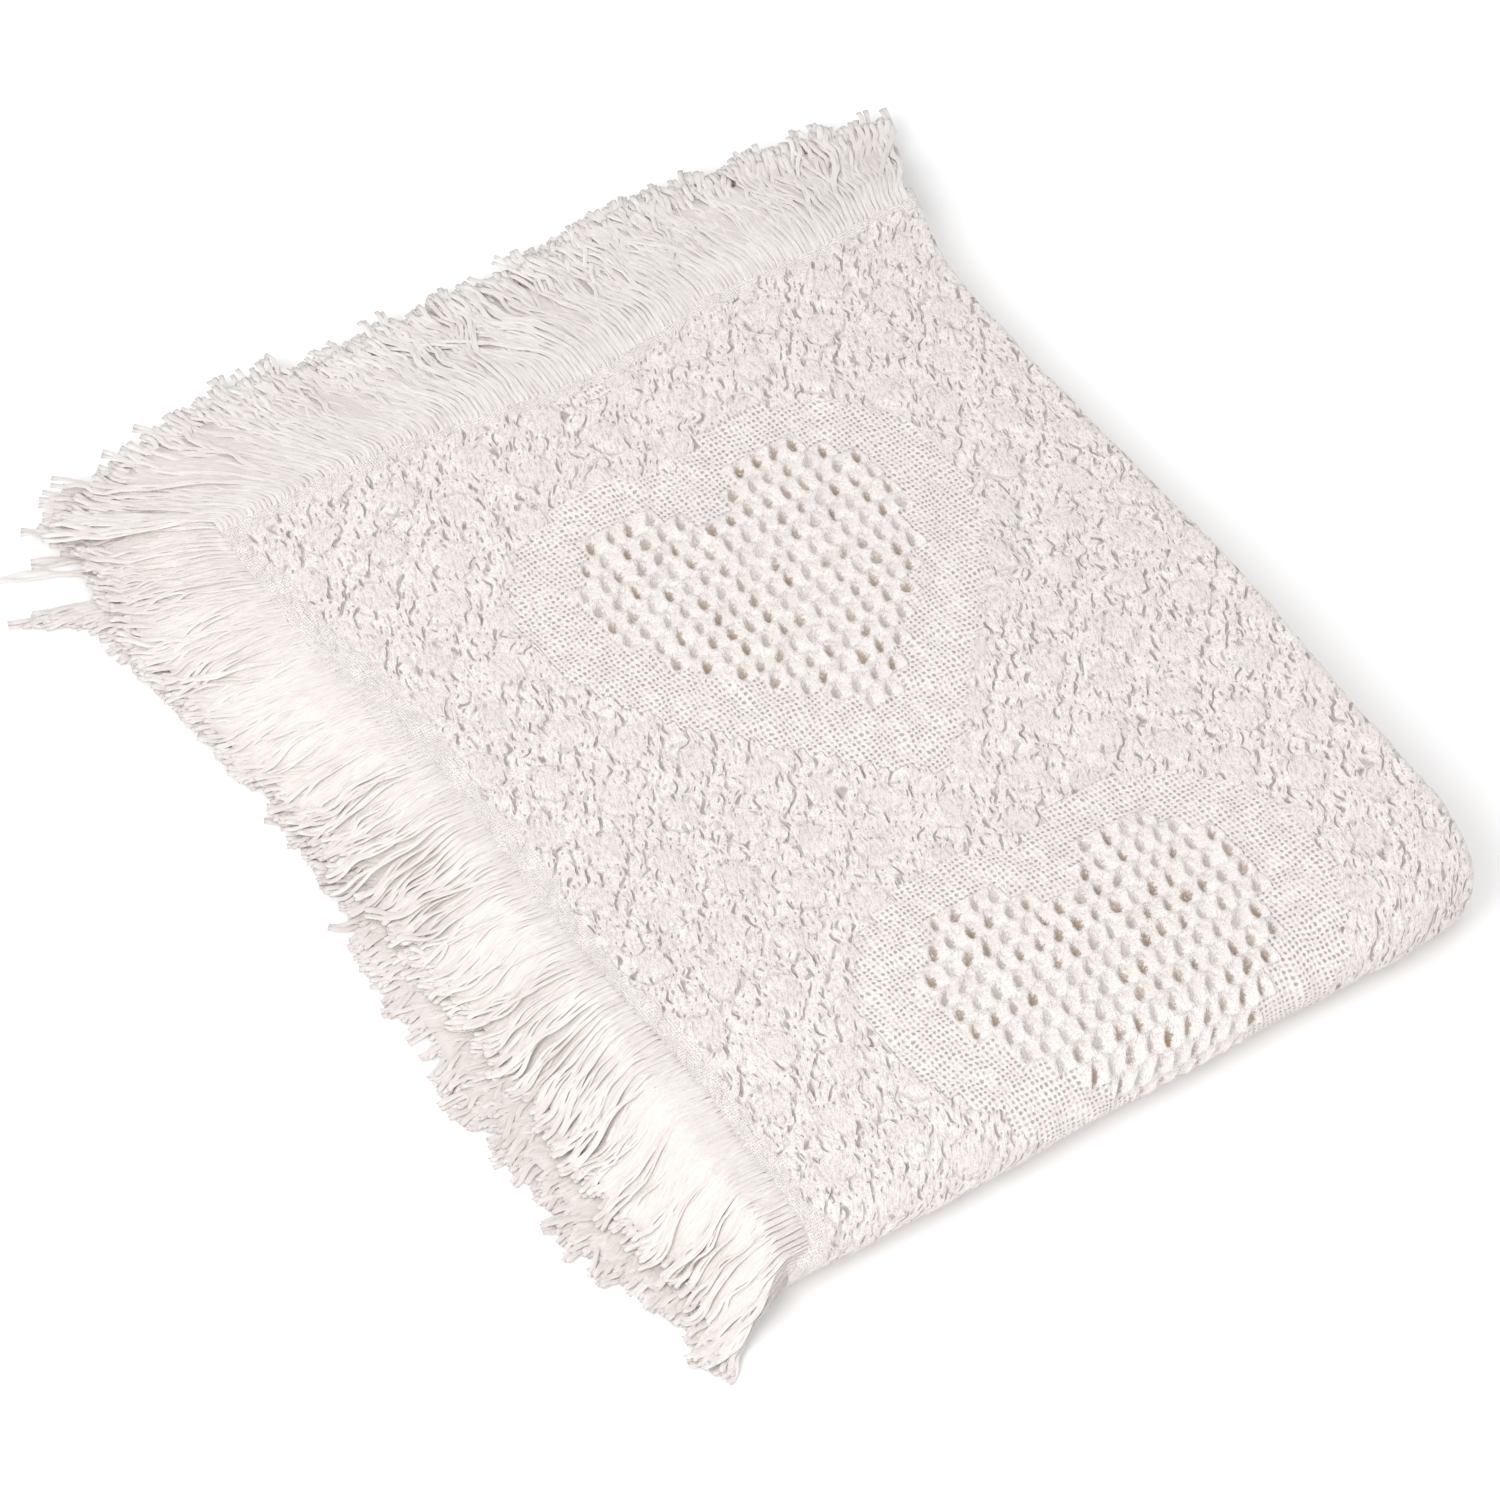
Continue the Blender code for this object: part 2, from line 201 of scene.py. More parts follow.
# How finely the cloth is drawn, and how much finer where it shows
SECTION_STEPS = (30, 8, 10, 4, 8)
RUN_STEPS = (22, 10, 22)
FINER_ACROSS = (8, 1)
FINER_ALONG = (9, 3)

# Fringe yarns in their rows; the second row of a pair lies sunk in the gaps of the first
YARN_PITCH_ENDS = CELL_S / 4
YARN_PITCH_SIDES = CELL_T / 4
YARN_RADIUS = 1.2 * MM
YARN_REST = 1.5 * MM
SUNK_ROW = 0.7 * MM
ROOT_OVERLAP = 1.0 * MM
ROOT_UNEVEN = 2.0 * MM
END_CLUMP = 17 * MM
SIDE_CLUMP = 18 * MM
LOWEST = 0.2 * MM

# How the yarns stray: slow waves, curls, and a few that lean away and lie on top
WAVE_LENGTH = 0.048
WAVE_SIZE = 2.8 * MM
STRAY_SHARE = 0.20
STRAY_LEAN = 0.35
STRAY_LIFT = 1.2 * MM
PATCH_LIFT = 1.2 * MM
SMALL_LIFT = 0.35 * MM

# The two plies of a yarn, as flat ribbons that part towards the tip
PLY_RADIUS = 0.75 * MM
PLY_WIDE = 1.25
PLY_HIGH = 0.50
PLY_APART = 0.45 * MM
PLY_ROCK = 0.7
TIP_SWELL = 0.8

# Mats of loose fibres under the yarns, with their tone and height over the yarns' middle; the mats show in
# the gaps between the yarns, and their tone is painted shade
Mat = namedtuple("Mat", "tone height")
END_MAT = Mat(0.90, 0.10 * MM)
SIDE_MAT = Mat(0.70, 0.60 * MM)
# The lower tier's mat is painted all in the pockets' shadow colour
POCKET_SHADE_MAT = Mat(1.0, 0.60 * MM)
MAT_SMOOTHING = 6
MAT_INSET = 1
MAT_SHARE = 0.95
MAT_THICKNESS = 0.8 * MM

# Tones from 0, white, to 0.95, shaded, and beyond it the pockets, painted as shadowed hollows between the
# tiers; each fringe's base tone is partly painted shade, set for how the light falls on that fringe, and each
# yarn adds a random tone; streaks of fibres along the yarns
TONE_RANGE = 0.24
END_TONE_AND_SHADE = 0.53
SIDE_TONE_AND_SHADE = 0.58
LOWER_TONE_AND_SHADE = 0.72
POCKET_SHADE_TONES = (0.95, 0.99)
YARN_SPACING = 3.3
FIBRES_PER_MM = 0.9
FIBRE_RUNS = 7.0


def smooth(share):
    """From 0 to 1 with level ends, held beyond them."""
    share = np.clip(share, 0.0, 1.0)
    return share * share * (3 - 2 * share)


def blend(low, high, share):
    return low + (high - low) * share


def swell(y):
    """How much thicker the stack is here than at the fringed ends."""
    return blend(1.0, FOLD_SWELL, smooth((HALF_LENGTH - y) / STRAIGHT_RUN))


def stack(height, run):
    """(y, z) of a layer at this height in its half stack, and this far along the U."""
    turn = math.pi * np.clip((run - STRAIGHT_RUN) / BEND_RUN, 0.0, 1.0)
    upper = run < STRAIGHT_RUN
    lower = run > STRAIGHT_RUN + BEND_RUN
    y_up = HALF_LENGTH - run
    y_low = FOLD_Y + run - STRAIGHT_RUN - BEND_RUN
    z_up = (OUTER + height) * swell(y_up) + HALF_THICKNESS
    z_low = (OUTER - height) * swell(y_low) + HALF_THICKNESS
    y_bend = FOLD_Y - height * FOLD_SWELL * np.sin(turn)
    z_bend = FOLD_RADIUS + height * FOLD_SWELL * np.cos(turn)
    y = np.where(upper, y_up, np.where(lower, y_low, y_bend))
    return y, np.where(upper, z_up, np.where(lower, z_low, z_bend))


def ripple(waves, across, along):
    return sum(w.size * np.sin(w.across * across + w.along * along + w.shift) for w in waves)


def settle(x, y, z):
    """Moves points as the laid cloth is uneven, and stacks them as rows of (x, y, z)."""
    across, along = x / HALF_WIDTH, y / HALF_LENGTH
    lift = np.maximum(0.0, z - CLOTH_THICKNESS) / (HIGHEST - CLOTH_THICKNESS)
    a = np.clip((x - HALF_WIDTH + CORNER_ROUND) / CORNER_ROUND, 0.0, 1.4)
    b = np.clip((-y - HALF_LENGTH + CORNER_ROUND) / CORNER_ROUND, 0.0, 1.4)
    draw = CORNER_SHARE * CORNER_ROUND
    x = x - draw * a * (1 - np.sqrt(np.maximum(0.0, 1 - b * b / 2)))
    y = y + draw * b * (1 - np.sqrt(np.maximum(0.0, 1 - a * a / 2)))
    hollow = smooth((along + 0.4) / 1.1) * smooth((1.05 - along) / 0.28)
    x = x - SIDE_HOLLOW * hollow * ((1 + across) / 2) ** 4
    x = x - BASE_SLIP * smooth(along) * (1 - np.minimum(lift, 1.0)) * ((1 - across) / 2) ** 2
    x = x + ripple(SIDE_WAVES, across, along)
    y = y + ripple(END_WAVES, across, along)
    z = z + ripple(TOP_WAVES, across, along) * lift * lift
    return np.stack([x, y, z], axis=-1)


def section(s):
    """(x, height) this far along the cloth's section."""
    x = np.zeros_like(s)
    height = np.zeros_like(s)
    start = 0.0
    for stretch in STRETCHES:
        here = s >= start if start else np.ones_like(s, bool)
        along = s - start
        if stretch.straight:
            new_x = stretch.x + stretch.way * along
            new_height = stretch.height + 0 * along
        else:
            turn = math.pi * np.clip(along / stretch.length, 0.0, 1.0)
            radius = stretch.way * stretch.length / math.pi
            new_x = stretch.x + radius * np.sin(turn)
            new_height = stretch.height + radius * np.cos(turn)
        x = np.where(here, new_x, x)
        height = np.where(here, new_height, height)
        start += stretch.length
    return x, height


def middle_surface(s, t):
    x, height = section(s)
    y, z = stack(height, t)
    return settle(x, y, z)


def unit(vectors):
    return vectors / np.maximum(np.linalg.norm(vectors, axis=-1, keepdims=True), 1e-12)


def fold(s, t, out):
    """World points of the cloth, this far outside its middle surface."""
    step = 0.0004
    along_s = middle_surface(s + step, t) - middle_surface(s - step, t)
    along_t = middle_surface(s, t + step) - middle_surface(s, t - step)
    return middle_surface(s, t) + unit(np.cross(along_t, along_s)) * out[..., None]


def random_of(i, j, salt):
    """A fixed number from 0 to 1 for each cell."""
    mixed = np.sin(i * 127.1 + j * 311.7 + salt * 74.7) * 43758.5453
    return mixed - np.floor(mixed)


def patches(x, y, size, salt):
    """Soft noise from -1 to 1 with patches of this size."""
    x, y = x / size, y / size
    i, j = np.floor(x), np.floor(y)
    a, b = smooth(x - i), smooth(y - j)
    low = blend(random_of(i, j, salt), random_of(i + 1, j, salt), a)
    high = blend(random_of(i, j + 1, salt), random_of(i + 1, j + 1, salt), a)
    return 2 * blend(low, high, b) - 1


def cells(s, t):
    p = (s - HEART_S - SHEAR * (t - HEART_T)) / CELL_S
    q = (t - HEART_T) / CELL_T
    return p, q


def nearest_heart(p, q):
    """Cells from the middle of the nearest heart."""
    p = p - HEARTS_ACROSS * np.round(p / HEARTS_ACROSS)
    q = q - HEARTS_ALONG * np.round(q / HEARTS_ALONG)
    return p, q


def heart(p, q, grow):
    """Above zero inside a heart grown by this many cells: two round lobes over a tapered body."""
    row = q + MIDDLE_ROW
    stretched = (row - LOBE_ROW) * (LOBE_STRETCH + 0.06 * grow)
    lobe = LOBE_RADIUS + grow - np.hypot(np.abs(p) - LOBE_SIDE, stretched)
    taper = np.clip((row - BODY_ROW) / (BODY_ROWS + 1.3 * grow), 0.0, 1.0) ** BODY_BEND
    body = (BODY_HALF + grow) * (1 - taper) - np.abs(p)
    return np.where(row < LOBE_ROW, lobe, body)


def in_honeycomb(p, q):
    """Whether the cell here is one of a heart's pitted cells."""
    p, q = nearest_heart(p, q)
    return heart(np.floor(p) + 0.5, np.floor(q) + 0.5, 0.0) > 0


def in_plain(p, q):
    """Whether the half cell here lies in a heart or in its flat border."""
    p, q = nearest_heart(p, q)
    return heart(np.floor(2 * p) / 2 + 0.25, np.floor(2 * q) / 2 + 0.25, PLAIN_BORDER) > 0


def roots(table, along):
    """How far inside the edge the yarns leave the cloth here."""
    return np.interp(along, [root.place for root in table], [root.depth for root in table])


def strayed(p, q):
    """The weave's own unevenness: places in cells, each drawn a little aside."""
    return p + STRAY * patches(p, q, STRAY_SIZE, 21), q + STRAY * patches(p, q, STRAY_SIZE, 22)


def honeycomb_relief(p, q):
    """(height, depth share) of the pitted weave: puffed floats that lean over slanting pits."""
    p, q = strayed(p, q)
    i, j = np.floor(p), np.floor(q)
    a, b = p - i - 0.5, q - j - 0.5
    deep = random_of(i, j, 3)
    slanted = a + PIT_LEAN * b
    pit = smooth((1.3 - np.hypot(slanted / (PIT_WIDTH * (1 + b)), b / PIT_LENGTH)) / 0.8)
    slanted = slanted - np.round(slanted)
    arch = -np.cos(2 * math.pi * (b - ARCH_TOP - ARCH_BEND * slanted ** 2))
    puff = arch * smooth((np.abs(slanted) - 0.10) / 0.3)
    crest = np.cos(2 * math.pi * (slanted - CREST))
    uneven = CELLS_UNEVEN * (random_of(i, j, 6) - 0.5)
    height = FLOAT_HEIGHT + PUFF_HEIGHT * puff + CREST_HEIGHT * crest + uneven
    return (height - blend(*PIT_DEPTHS, deep) * pit) * MM, deep


def button_share(p, q):
    """1 on the ground's round buttons, 0 between them."""
    a, b = (p + q) / 4, (p - q - 2) / 4
    a, b = a - np.round(a), b - np.round(b)
    return smooth((BUTTON_EDGE - np.hypot(2 * (a + b), 2 * (a - b))) / 0.4)


def ground_relief(p, q):
    """Height of the crinkled ground: round buttons in a field of short staggered floats."""
    button = button_share(p, q)
    p = p + GROUND_STRAY * patches(p, q, 0.9, 11)
    q = q + GROUND_STRAY * patches(p, q, 0.9, 12) - SLIT_PHASE
    floats = -np.cos(2 * math.pi * p) * np.cos(2 * math.pi * q)
    uneven = GROUND_UNEVEN * patches(p + 0.4 * q, 0.5 * q, 0.35, 7)
    return (BUTTON_HEIGHT * button + (FLOAT_HEIGHT * floats + uneven) * (1 - button)) * MM


def hem_share(s, t):
    """1 in the hem bands, 0 in the cloth inside them."""
    ragged = 4.0 * MM * patches(s, t, 0.013, 8) + 2.0 * MM * patches(s, t, 0.005, 9)
    side = smooth((roots(SIDE_ROOTS, t) + SIDE_BAND + ragged - s) / HEM_EDGE)
    t = np.minimum(t, WHOLE_RUN - t)
    end = smooth((roots(END_ROOTS, s) + END_BAND + ragged - t) / HEM_EDGE)
    return np.maximum(side, end)


def relief(s, t):
    """(height, shares of each weave) at these places."""
    p, q = cells(s, t)
    pitted = in_honeycomb(p, q)
    plain = in_plain(p, q) & ~pitted
    high, deep = honeycomb_relief(p, q)
    height = np.where(pitted, high, np.where(plain, -0.2 * MM, ground_relief(p, q)))
    hem = hem_share(s, t)
    inside = 1 - hem
    height = height * (1 - 0.8 * hem) + 0.25 * MM * (hem + patches(s, t, 0.02, 5))
    deep = np.where(pitted, deep, 0.0)
    return height, {"pitted": pitted * inside, "deep": deep, "plain": plain * inside, "hem": hem}


def divided(lengths, counts):
    """Places along a line of stretches, each divided evenly."""
    places = [0.0]
    for length, count in zip(lengths, counts):
        start = places[-1]
        places += [start + length * k / count for k in range(1, count + 1)]
    return np.array(places)


def finer(places, counts, times):
    """The first of these places with each step divided again, and where the old places are among them."""
    out, old = [places[0]], [0]
    step = 0
    for count, more in zip(counts, times):
        for _ in range(count):
            low, high = places[step], places[step + 1]
            out += [blend(low, high, k / more) for k in range(1, more + 1)]
            old.append(len(out) - 1)
            step += 1
    return np.array(out), old


def rim_pairs(columns, rows):
    """Pairs of neighbouring corners all round a grid of this many faces."""
    rim = [(i, 0) for i in range(columns)] + [(columns, j) for j in range(rows)]
    rim += [(i, rows) for i in range(columns, 0, -1)] + [(0, j) for j in range(rows, 0, -1)]
    return zip(rim, rim[1:] + rim[:1])


def flat_cloth_mesh():
    """The cloth laid flat as (s, -t, height): fine where its outer face shows, and closed all round."""
    s_places = divided([stretch.length for stretch in STRETCHES], SECTION_STEPS)
    t_places = divided((STRAIGHT_RUN, BEND_RUN, STRAIGHT_RUN), RUN_STEPS)
    s_fine, s_old = finer(s_places, SECTION_STEPS[:2], FINER_ACROSS)
    t_fine, t_old = finer(t_places, RUN_STEPS[:2], FINER_ALONG)
    columns, rows = len(s_places) - 1, len(t_places) - 1
    fine_columns, fine_rows = len(s_old) - 1, len(t_old) - 1
    points = [(s, -t, HALF_THICKNESS) for s in s_fine for t in t_fine]
    outer = {}
    for i in range(columns + 1):
        for j in range(rows + 1):
            if i <= fine_columns and j <= fine_rows:
                outer[i, j] = s_old[i] * len(t_fine) + t_old[j]
            else:
                outer[i, j] = len(points)
                points.append((s_places[i], -t_places[j], HALF_THICKNESS))
    inner = {}
    for i in range(columns + 1):
        for j in range(rows + 1):
            inner[i, j] = len(points)
            points.append((s_places[i], -t_places[j], -HALF_THICKNESS))

    def chain(start, end):
        """The outer face's points from one coarse point to the next, without the last."""
        first, last = outer[start], outer[end]
        if max(start[0], end[0]) > fine_columns or max(start[1], end[1]) > fine_rows:
            return [first]
        step = len(t_fine) if start[0] != end[0] else 1
        return list(range(first, last, step if last > first else -step))

    faces = []
    for i in range(len(s_fine) - 1):
        for j in range(len(t_fine) - 1):
            a = i * len(t_fine) + j
            faces.append((a, a + len(t_fine), a + len(t_fine) + 1, a + 1))
    for i in range(columns):
        for j in range(rows):
            round_face = [(i, j), (i + 1, j), (i + 1, j + 1), (i, j + 1)]
            faces.append([inner[corner] for corner in reversed(round_face)])
            if i >= fine_columns or j >= fine_rows:
                pairs = zip(round_face, round_face[1:] + round_face[:1])
                faces.append([point for pair in pairs for point in chain(*pair)])
    for start, end in rim_pairs(columns, rows):
        faces.append(chain(start, end) + [outer[end], inner[end], inner[start]])
    return points, faces


def refine_hearts(mesh):
    """Halves the steps of the outer face in the hearts' pitted weave."""
    work = bmesh.new()
    work.from_mesh(mesh)
    centres = np.array([face.calc_center_median() for face in work.faces])
    p, q = cells(centres[:, 0], -centres[:, 1])
    wide = np.zeros(len(centres), bool)
    for step_p, step_q in ((0, 0), (0.3, 0), (-0.3, 0), (0, 0.3), (0, -0.3)):
        wide |= in_honeycomb(p + step_p, q + step_q)
    wide &= (centres[:, 2] > 0.9 * HALF_THICKNESS) & (-centres[:, 1] < STRAIGHT_RUN + BEND_RUN)
    wide &= centres[:, 0] < STRETCHES[0].length
    work.faces.ensure_lookup_table()
    edges = {edge for index in np.flatnonzero(wide) for edge in work.faces[index].edges}
    edges = sorted(edges, key=lambda edge: edge.index)
    bmesh.ops.subdivide_edges(work, edges=edges, cuts=1, use_grid_fill=True)
    bmesh.ops.recalc_face_normals(work, faces=work.faces)
    work.to_mesh(mesh)
    work.free()


def new_object(name, mesh, material):
    """A piece of the scene with this mesh and material."""
    mesh.materials.append(material)
    piece = bpy.data.objects.new(name, mesh)
    bpy.context.scene.collection.objects.link(piece)
    return piece


def add_attribute(mesh, name, values):
    """Gives each point a number that the material reads."""
    made = mesh.attributes.new(name, "FLOAT", "POINT")
    made.data.foreach_set("value", np.asarray(values, np.float32).ravel())


def points_of(mesh):
    flat = np.empty(3 * len(mesh.vertices), np.float32)
    mesh.vertices.foreach_get("co", flat)
    return flat.reshape(-1, 3).astype(float)


def add_weave_map(mesh, s, t):
    """A map of the cloth in cells, for its materials."""
    p, q = strayed(*cells(s, t))
    corners = np.empty(len(mesh.loops), np.int32)
    mesh.loops.foreach_get("vertex_index", corners)
    layer = mesh.uv_layers.new(name="weave")
    layer.uv.foreach_set("vector", np.stack([p, q], 1)[corners].astype(np.float32).ravel())


def make_cloth(material):
    """The cloth in its folds, with its relief on the faces that show."""
    mesh = bpy.data.meshes.new("woven_cloth")
    points, faces = flat_cloth_mesh()
    mesh.from_pydata(points, [], faces)
    refine_hearts(mesh)
    flat = points_of(mesh)
    s, t, side = flat[:, 0], -flat[:, 1], flat[:, 2]
    height, shares = relief(s, t)
    outside = side > 0
    shown = outside & (s < STRETCHES[0].length + STRETCHES[1].length)
    height = np.where(shown, height, 0.0)
    world = fold(s, t, side + height)
    mesh.vertices.foreach_set("co", world.astype(np.float32).ravel())
    add_weave_map(mesh, s, t)
    for name, values in shares.items():
        add_attribute(mesh, name, values)
    mesh.shade_smooth()
    mesh.update()
    return new_object("woven_cloth", mesh, material)


class Field:
    """A number that varies over a surface, as a chain of math nodes."""

    def __init__(self, tree, socket):
        self.tree, self.socket = tree, socket

    def math(self, operation, *others):
        node = self.tree.nodes.new("ShaderNodeMath")
        node.operation = operation
        for place, value in zip(node.inputs, (self, *others)):
            if isinstance(value, Field):
                self.tree.links.new(value.socket, place)
            else:
                place.default_value = value
        return Field(self.tree, node.outputs[0])

    def __add__(self, other):
        return self.math("ADD", other)

    def __sub__(self, other):
        return self.math("SUBTRACT", other)

    def __mul__(self, other):
        return self.math("MULTIPLY", other)

    def size(self):
        return self.math("ABSOLUTE")

    def wave(self):
        """Cosine with a period of 1."""
        return (self * (2 * math.pi)).math("COSINE")

    def apart(self):
        """How far this is from the nearest whole number."""
        return self - self.math("ROUND")

    def most(self, other):
        return self.math("MAXIMUM", other)

    def ramp(self, low, high):
        """0 at low to 1 at high, with level ends."""
        node = self.tree.nodes.new("ShaderNodeMapRange")
        node.interpolation_type = "SMOOTHSTEP"
        self.tree.links.new(self.socket, node.inputs["Value"])
        node.inputs["From Min"].default_value = low
        node.inputs["From Max"].default_value = high
        return Field(self.tree, node.outputs[0])


class Finish:
    """A material under construction, with the few kinds of node that these materials use."""

    def __init__(self, name, roughness, sheen):
        self.material = bpy.data.materials.new(name)
        self.material.use_nodes = True
        self.tree = self.material.node_tree
        self.shader = self.tree.nodes["Principled BSDF"]
        self.shader.inputs["Roughness"].default_value = roughness
        self.shader.inputs["Sheen Weight"].default_value = sheen
        self.shader.inputs["Sheen Roughness"].default_value = 0.5
        self.shader.inputs["Specular IOR Level"].default_value = 0.2

    def node(self, kind):
        return self.tree.nodes.new("ShaderNode" + kind)

    def link(self, output, place):
        self.tree.links.new(output, place)

    def attribute(self, name):
        node = self.node("Attribute")
        node.attribute_name = name
        return Field(self.tree, node.outputs["Fac"])

    def noises(self, vector, scale, detail=2.0, roughness=0.5):
        """Three soft noises, each about 0.3 to 0.7."""
        node = self.node("TexNoise")
        self.link(vector, node.inputs["Vector"])
        node.inputs["Scale"].default_value = scale
        node.inputs["Detail"].default_value = detail
        node.inputs["Roughness"].default_value = roughness
        parts = self.node("SeparateXYZ")
        self.link(node.outputs["Color"], parts.inputs[0])
        return [Field(self.tree, part) for part in parts.outputs]

    def noise(self, vector, scale, detail=2.0, roughness=0.5):
        return self.noises(vector, scale, detail, roughness)[0]

    def place(self, x, y):
        """A vector of two fields."""
        node = self.node("CombineXYZ")
        self.link(x.socket, node.inputs[0])
        self.link(y.socket, node.inputs[1])
        return node.outputs[0]

    def drawn(self, x, y):
        """A fixed random number from 0 to 1 for each pair of whole numbers."""
        node = self.node("TexWhiteNoise")
        node.noise_dimensions = "2D"
        self.link(self.place(x.math("ROUND"), y.math("ROUND")), node.inputs["Vector"])
        return Field(self.tree, node.outputs["Value"])

    def mixed(self, share, low, high):
        """A colour between two others, each a colour or a socket."""
        node = self.node("Mix")
        node.data_type = "RGBA"
        self.link(share.socket, node.inputs["Factor"])
        for place, value in ((node.inputs[6], low), (node.inputs[7], high)):
            if isinstance(value, bpy.types.NodeSocket):
                self.link(value, place)
            else:
                place.default_value = (*value, 1.0)
        return node.outputs[2]

    def bumped(self, height, distance):
        node = self.node("Bump")
        node.inputs["Distance"].default_value = distance
        self.link(height.socket, node.inputs["Height"])
        return node.outputs["Normal"]

    def done(self, colour, normal):
        self.link(colour, self.shader.inputs["Base Color"])
        self.link(normal, self.shader.inputs["Normal"])
        return self.material


def linear(red, green, blue):
    """A light colour given as the eye sees it, from 0 to 255, in the renderer's scale."""
    return tuple(((part / 255 + 0.055) / 1.055) ** 2.4 for part in (red, green, blue))


CREAM = linear(250, 243, 239)
ROSE = linear(247, 237, 235)
GREY = linear(241, 236, 232)
LIGHT = linear(253, 247, 243)
# Dark colour of the painted shade in the cloth's slits, furrows, pinholes, crease and under the honeycomb's
# arches, also used for fine random specks
SHADE_AND_SPECKS = linear(150, 140, 132)
# Painted shade in the honeycomb's pits: grey where shallow, brown where deep, with rose patches
PIT_SHADE_GREY = linear(172, 163, 156)
PIT_SHADE_BROWN = linear(166, 144, 116)
PIT_SHADE_ROSE = linear(178, 150, 142)
YARN_WHITE = linear(250, 247, 245)
YARN_SHADED = linear(213, 205, 201)
YARN_DULL = linear(239, 234, 230)
# Painted shadow in the hollows between the fringe's tiers, rose and in patches beige
POCKET_SHADE_ROSE = linear(220, 212, 209)
POCKET_SHADE_BEIGE = linear(230, 214, 200)
FIBRE_SHADE = linear(203, 195, 191)
PAPER_LOW = linear(252, 252, 252)
PAPER_HIGH = linear(253, 253, 253)


def ground_weave(f, p, q):
    """(painted shade share, bump height) of the crinkled ground: painted shade in slits, furrows, low strands
    and broken rings at the buttons' edges, and the buttons a little darker all over.
    """
    a, b = ((p + q) * 0.25).apart(), ((p - q - 2.0) * 0.25).apart()
    from_button = ((a * a + b * b) * 8.0).math("SQRT")
    between = from_button.ramp(0.5, 0.85)
    bend_p, bend_q, bend_r = f.noises(f.place(p, q), 1.1, 1.0)
    u = p + (bend_p - 0.5) * 0.8
    v = q + (bend_q - 0.5) * 0.8 - SLIT_PHASE
    a, b = (u + v).apart(), (u - v).apart()
    chance = f.drawn(u + v, u - v)
    across, along = (a + b) * 0.5, (a - b) * 0.5
    lean = (across + along * (bend_r * 3.0 - 1.0)).size()
    slit = lean.ramp(0.10, 0.02) * along.size().ramp(0.40, 0.12) * chance.ramp(-0.1, 0.9) * between
    ridge = (p + q * RIDGE_LEAN + (bend_r - 0.5) * 0.7 + (q + bend_p).wave() * 0.05) * RIDGES
    rank = ridge.math("ROUND")
    beside = (ridge - rank).size()
    broken = f.noise(f.place(rank * 3.7, q * 3.8), 1.0, 1.0)
    furrow = beside.ramp(0.16, 0.02) * broken.ramp(0.50, 0.64) * (between * 0.8 + 0.2)
    strands = f.noise(f.place(p * 1.7 + q * 0.7, q * 0.7), 4.0, 2.0, 0.6)
    lumps = u.wave() * v.wave() * -0.5 + 0.5
    from_ring = (from_button - BUTTON_EDGE + (bend_p - 0.5) * 0.5).size()
    ring = from_ring.ramp(0.14, 0.0) * bend_q.ramp(0.41, 0.56)
    # Painted shade: slits, furrows and the low places of the strands darker, and a broken ring of shade at
    # each button's edge
    painted_shade = (slit * 0.75).most(furrow * 0.65).most(strands.ramp(0.50, 0.34) * 0.3).most(ring * 0.26)
    height = lumps * between * 0.4 + beside.ramp(0.0, 0.5) * 0.25 + strands * 1.5
    return painted_shade - between * 0.07 + 0.07, height - slit * 1.2 - furrow * 0.9 - ring * 0.6


def plain_weave(f, p, q):
    """(painted shade share, bump height) of the flat weave, with painted shade in its pinholes."""
    bend_p, bend_q, _ = f.noises(f.place(p, q), 2.2, 2.0)
    u = p * 4.0 + (bend_p - 0.5) * 0.7
    v = q * 4.0 + (bend_q - 0.5) * 0.7
    uneven = f.noise(f.place(u, v * 0.25), 1.0, 1.0)
    chance = f.drawn(u, v)
    a, b = u.apart(), v.apart()
    # Painted shade in scattered pinholes
    hole = (a * a + b * b).ramp(0.10, 0.01) * chance.ramp(-0.4, 0.8) * uneven.ramp(0.05, 0.5)
    thread = (a.size().ramp(0.0, 0.5) + b.size().ramp(0.0, 0.5)) * 0.5
    return hole * 0.62, thread * 0.65 - hole * 0.9


def pitted_weave(f, p, q):
    """(pit share, painted shade share under the arches between the floats, bump height) of the honeycomb."""
    ragged_a, ragged_b, speck = f.noises(f.place(p, q), 5.5, 2.0, 0.8)
    chance = f.drawn(p - 0.5, q - 0.5)
    b = (q - 0.5).apart()
    slanted = (p - 0.5 + b * PIT_LEAN).apart()
    wide = (b * PIT_WIDTH + PIT_WIDTH) * (chance * 0.5 + 0.75)
    across = (slanted + (ragged_a - 0.5) * 0.55).math("DIVIDE", wide)
    along = (b + (ragged_b - 0.5) * 0.45) * (1 / PIT_LENGTH)
    pit = (across * across + along * along).ramp(1.4, 0.3) * speck.ramp(0.25, 0.5) * (b * 0.8 + 0.8)
    arch = (b - slanted * slanted * ARCH_BEND - ARCH_TOP + (ragged_a - 0.5) * 0.45).apart()
    # Painted shade: a thin broken line along the top of each arch, under the row above
    lip = arch.size().ramp(0.15, 0.0) * ragged_b.ramp(0.42, 0.6) * 0.16
    strands = f.noise(f.place(p * 1.6 + q * 0.6, q * 0.8), 5.0, 2.0, 0.6)
    petal = (slanted - CREST).wave() * 0.5
    return pit, lip, petal + strands * 1.8 + speck * 0.8 - pit * 0.8 - lip * 2.0


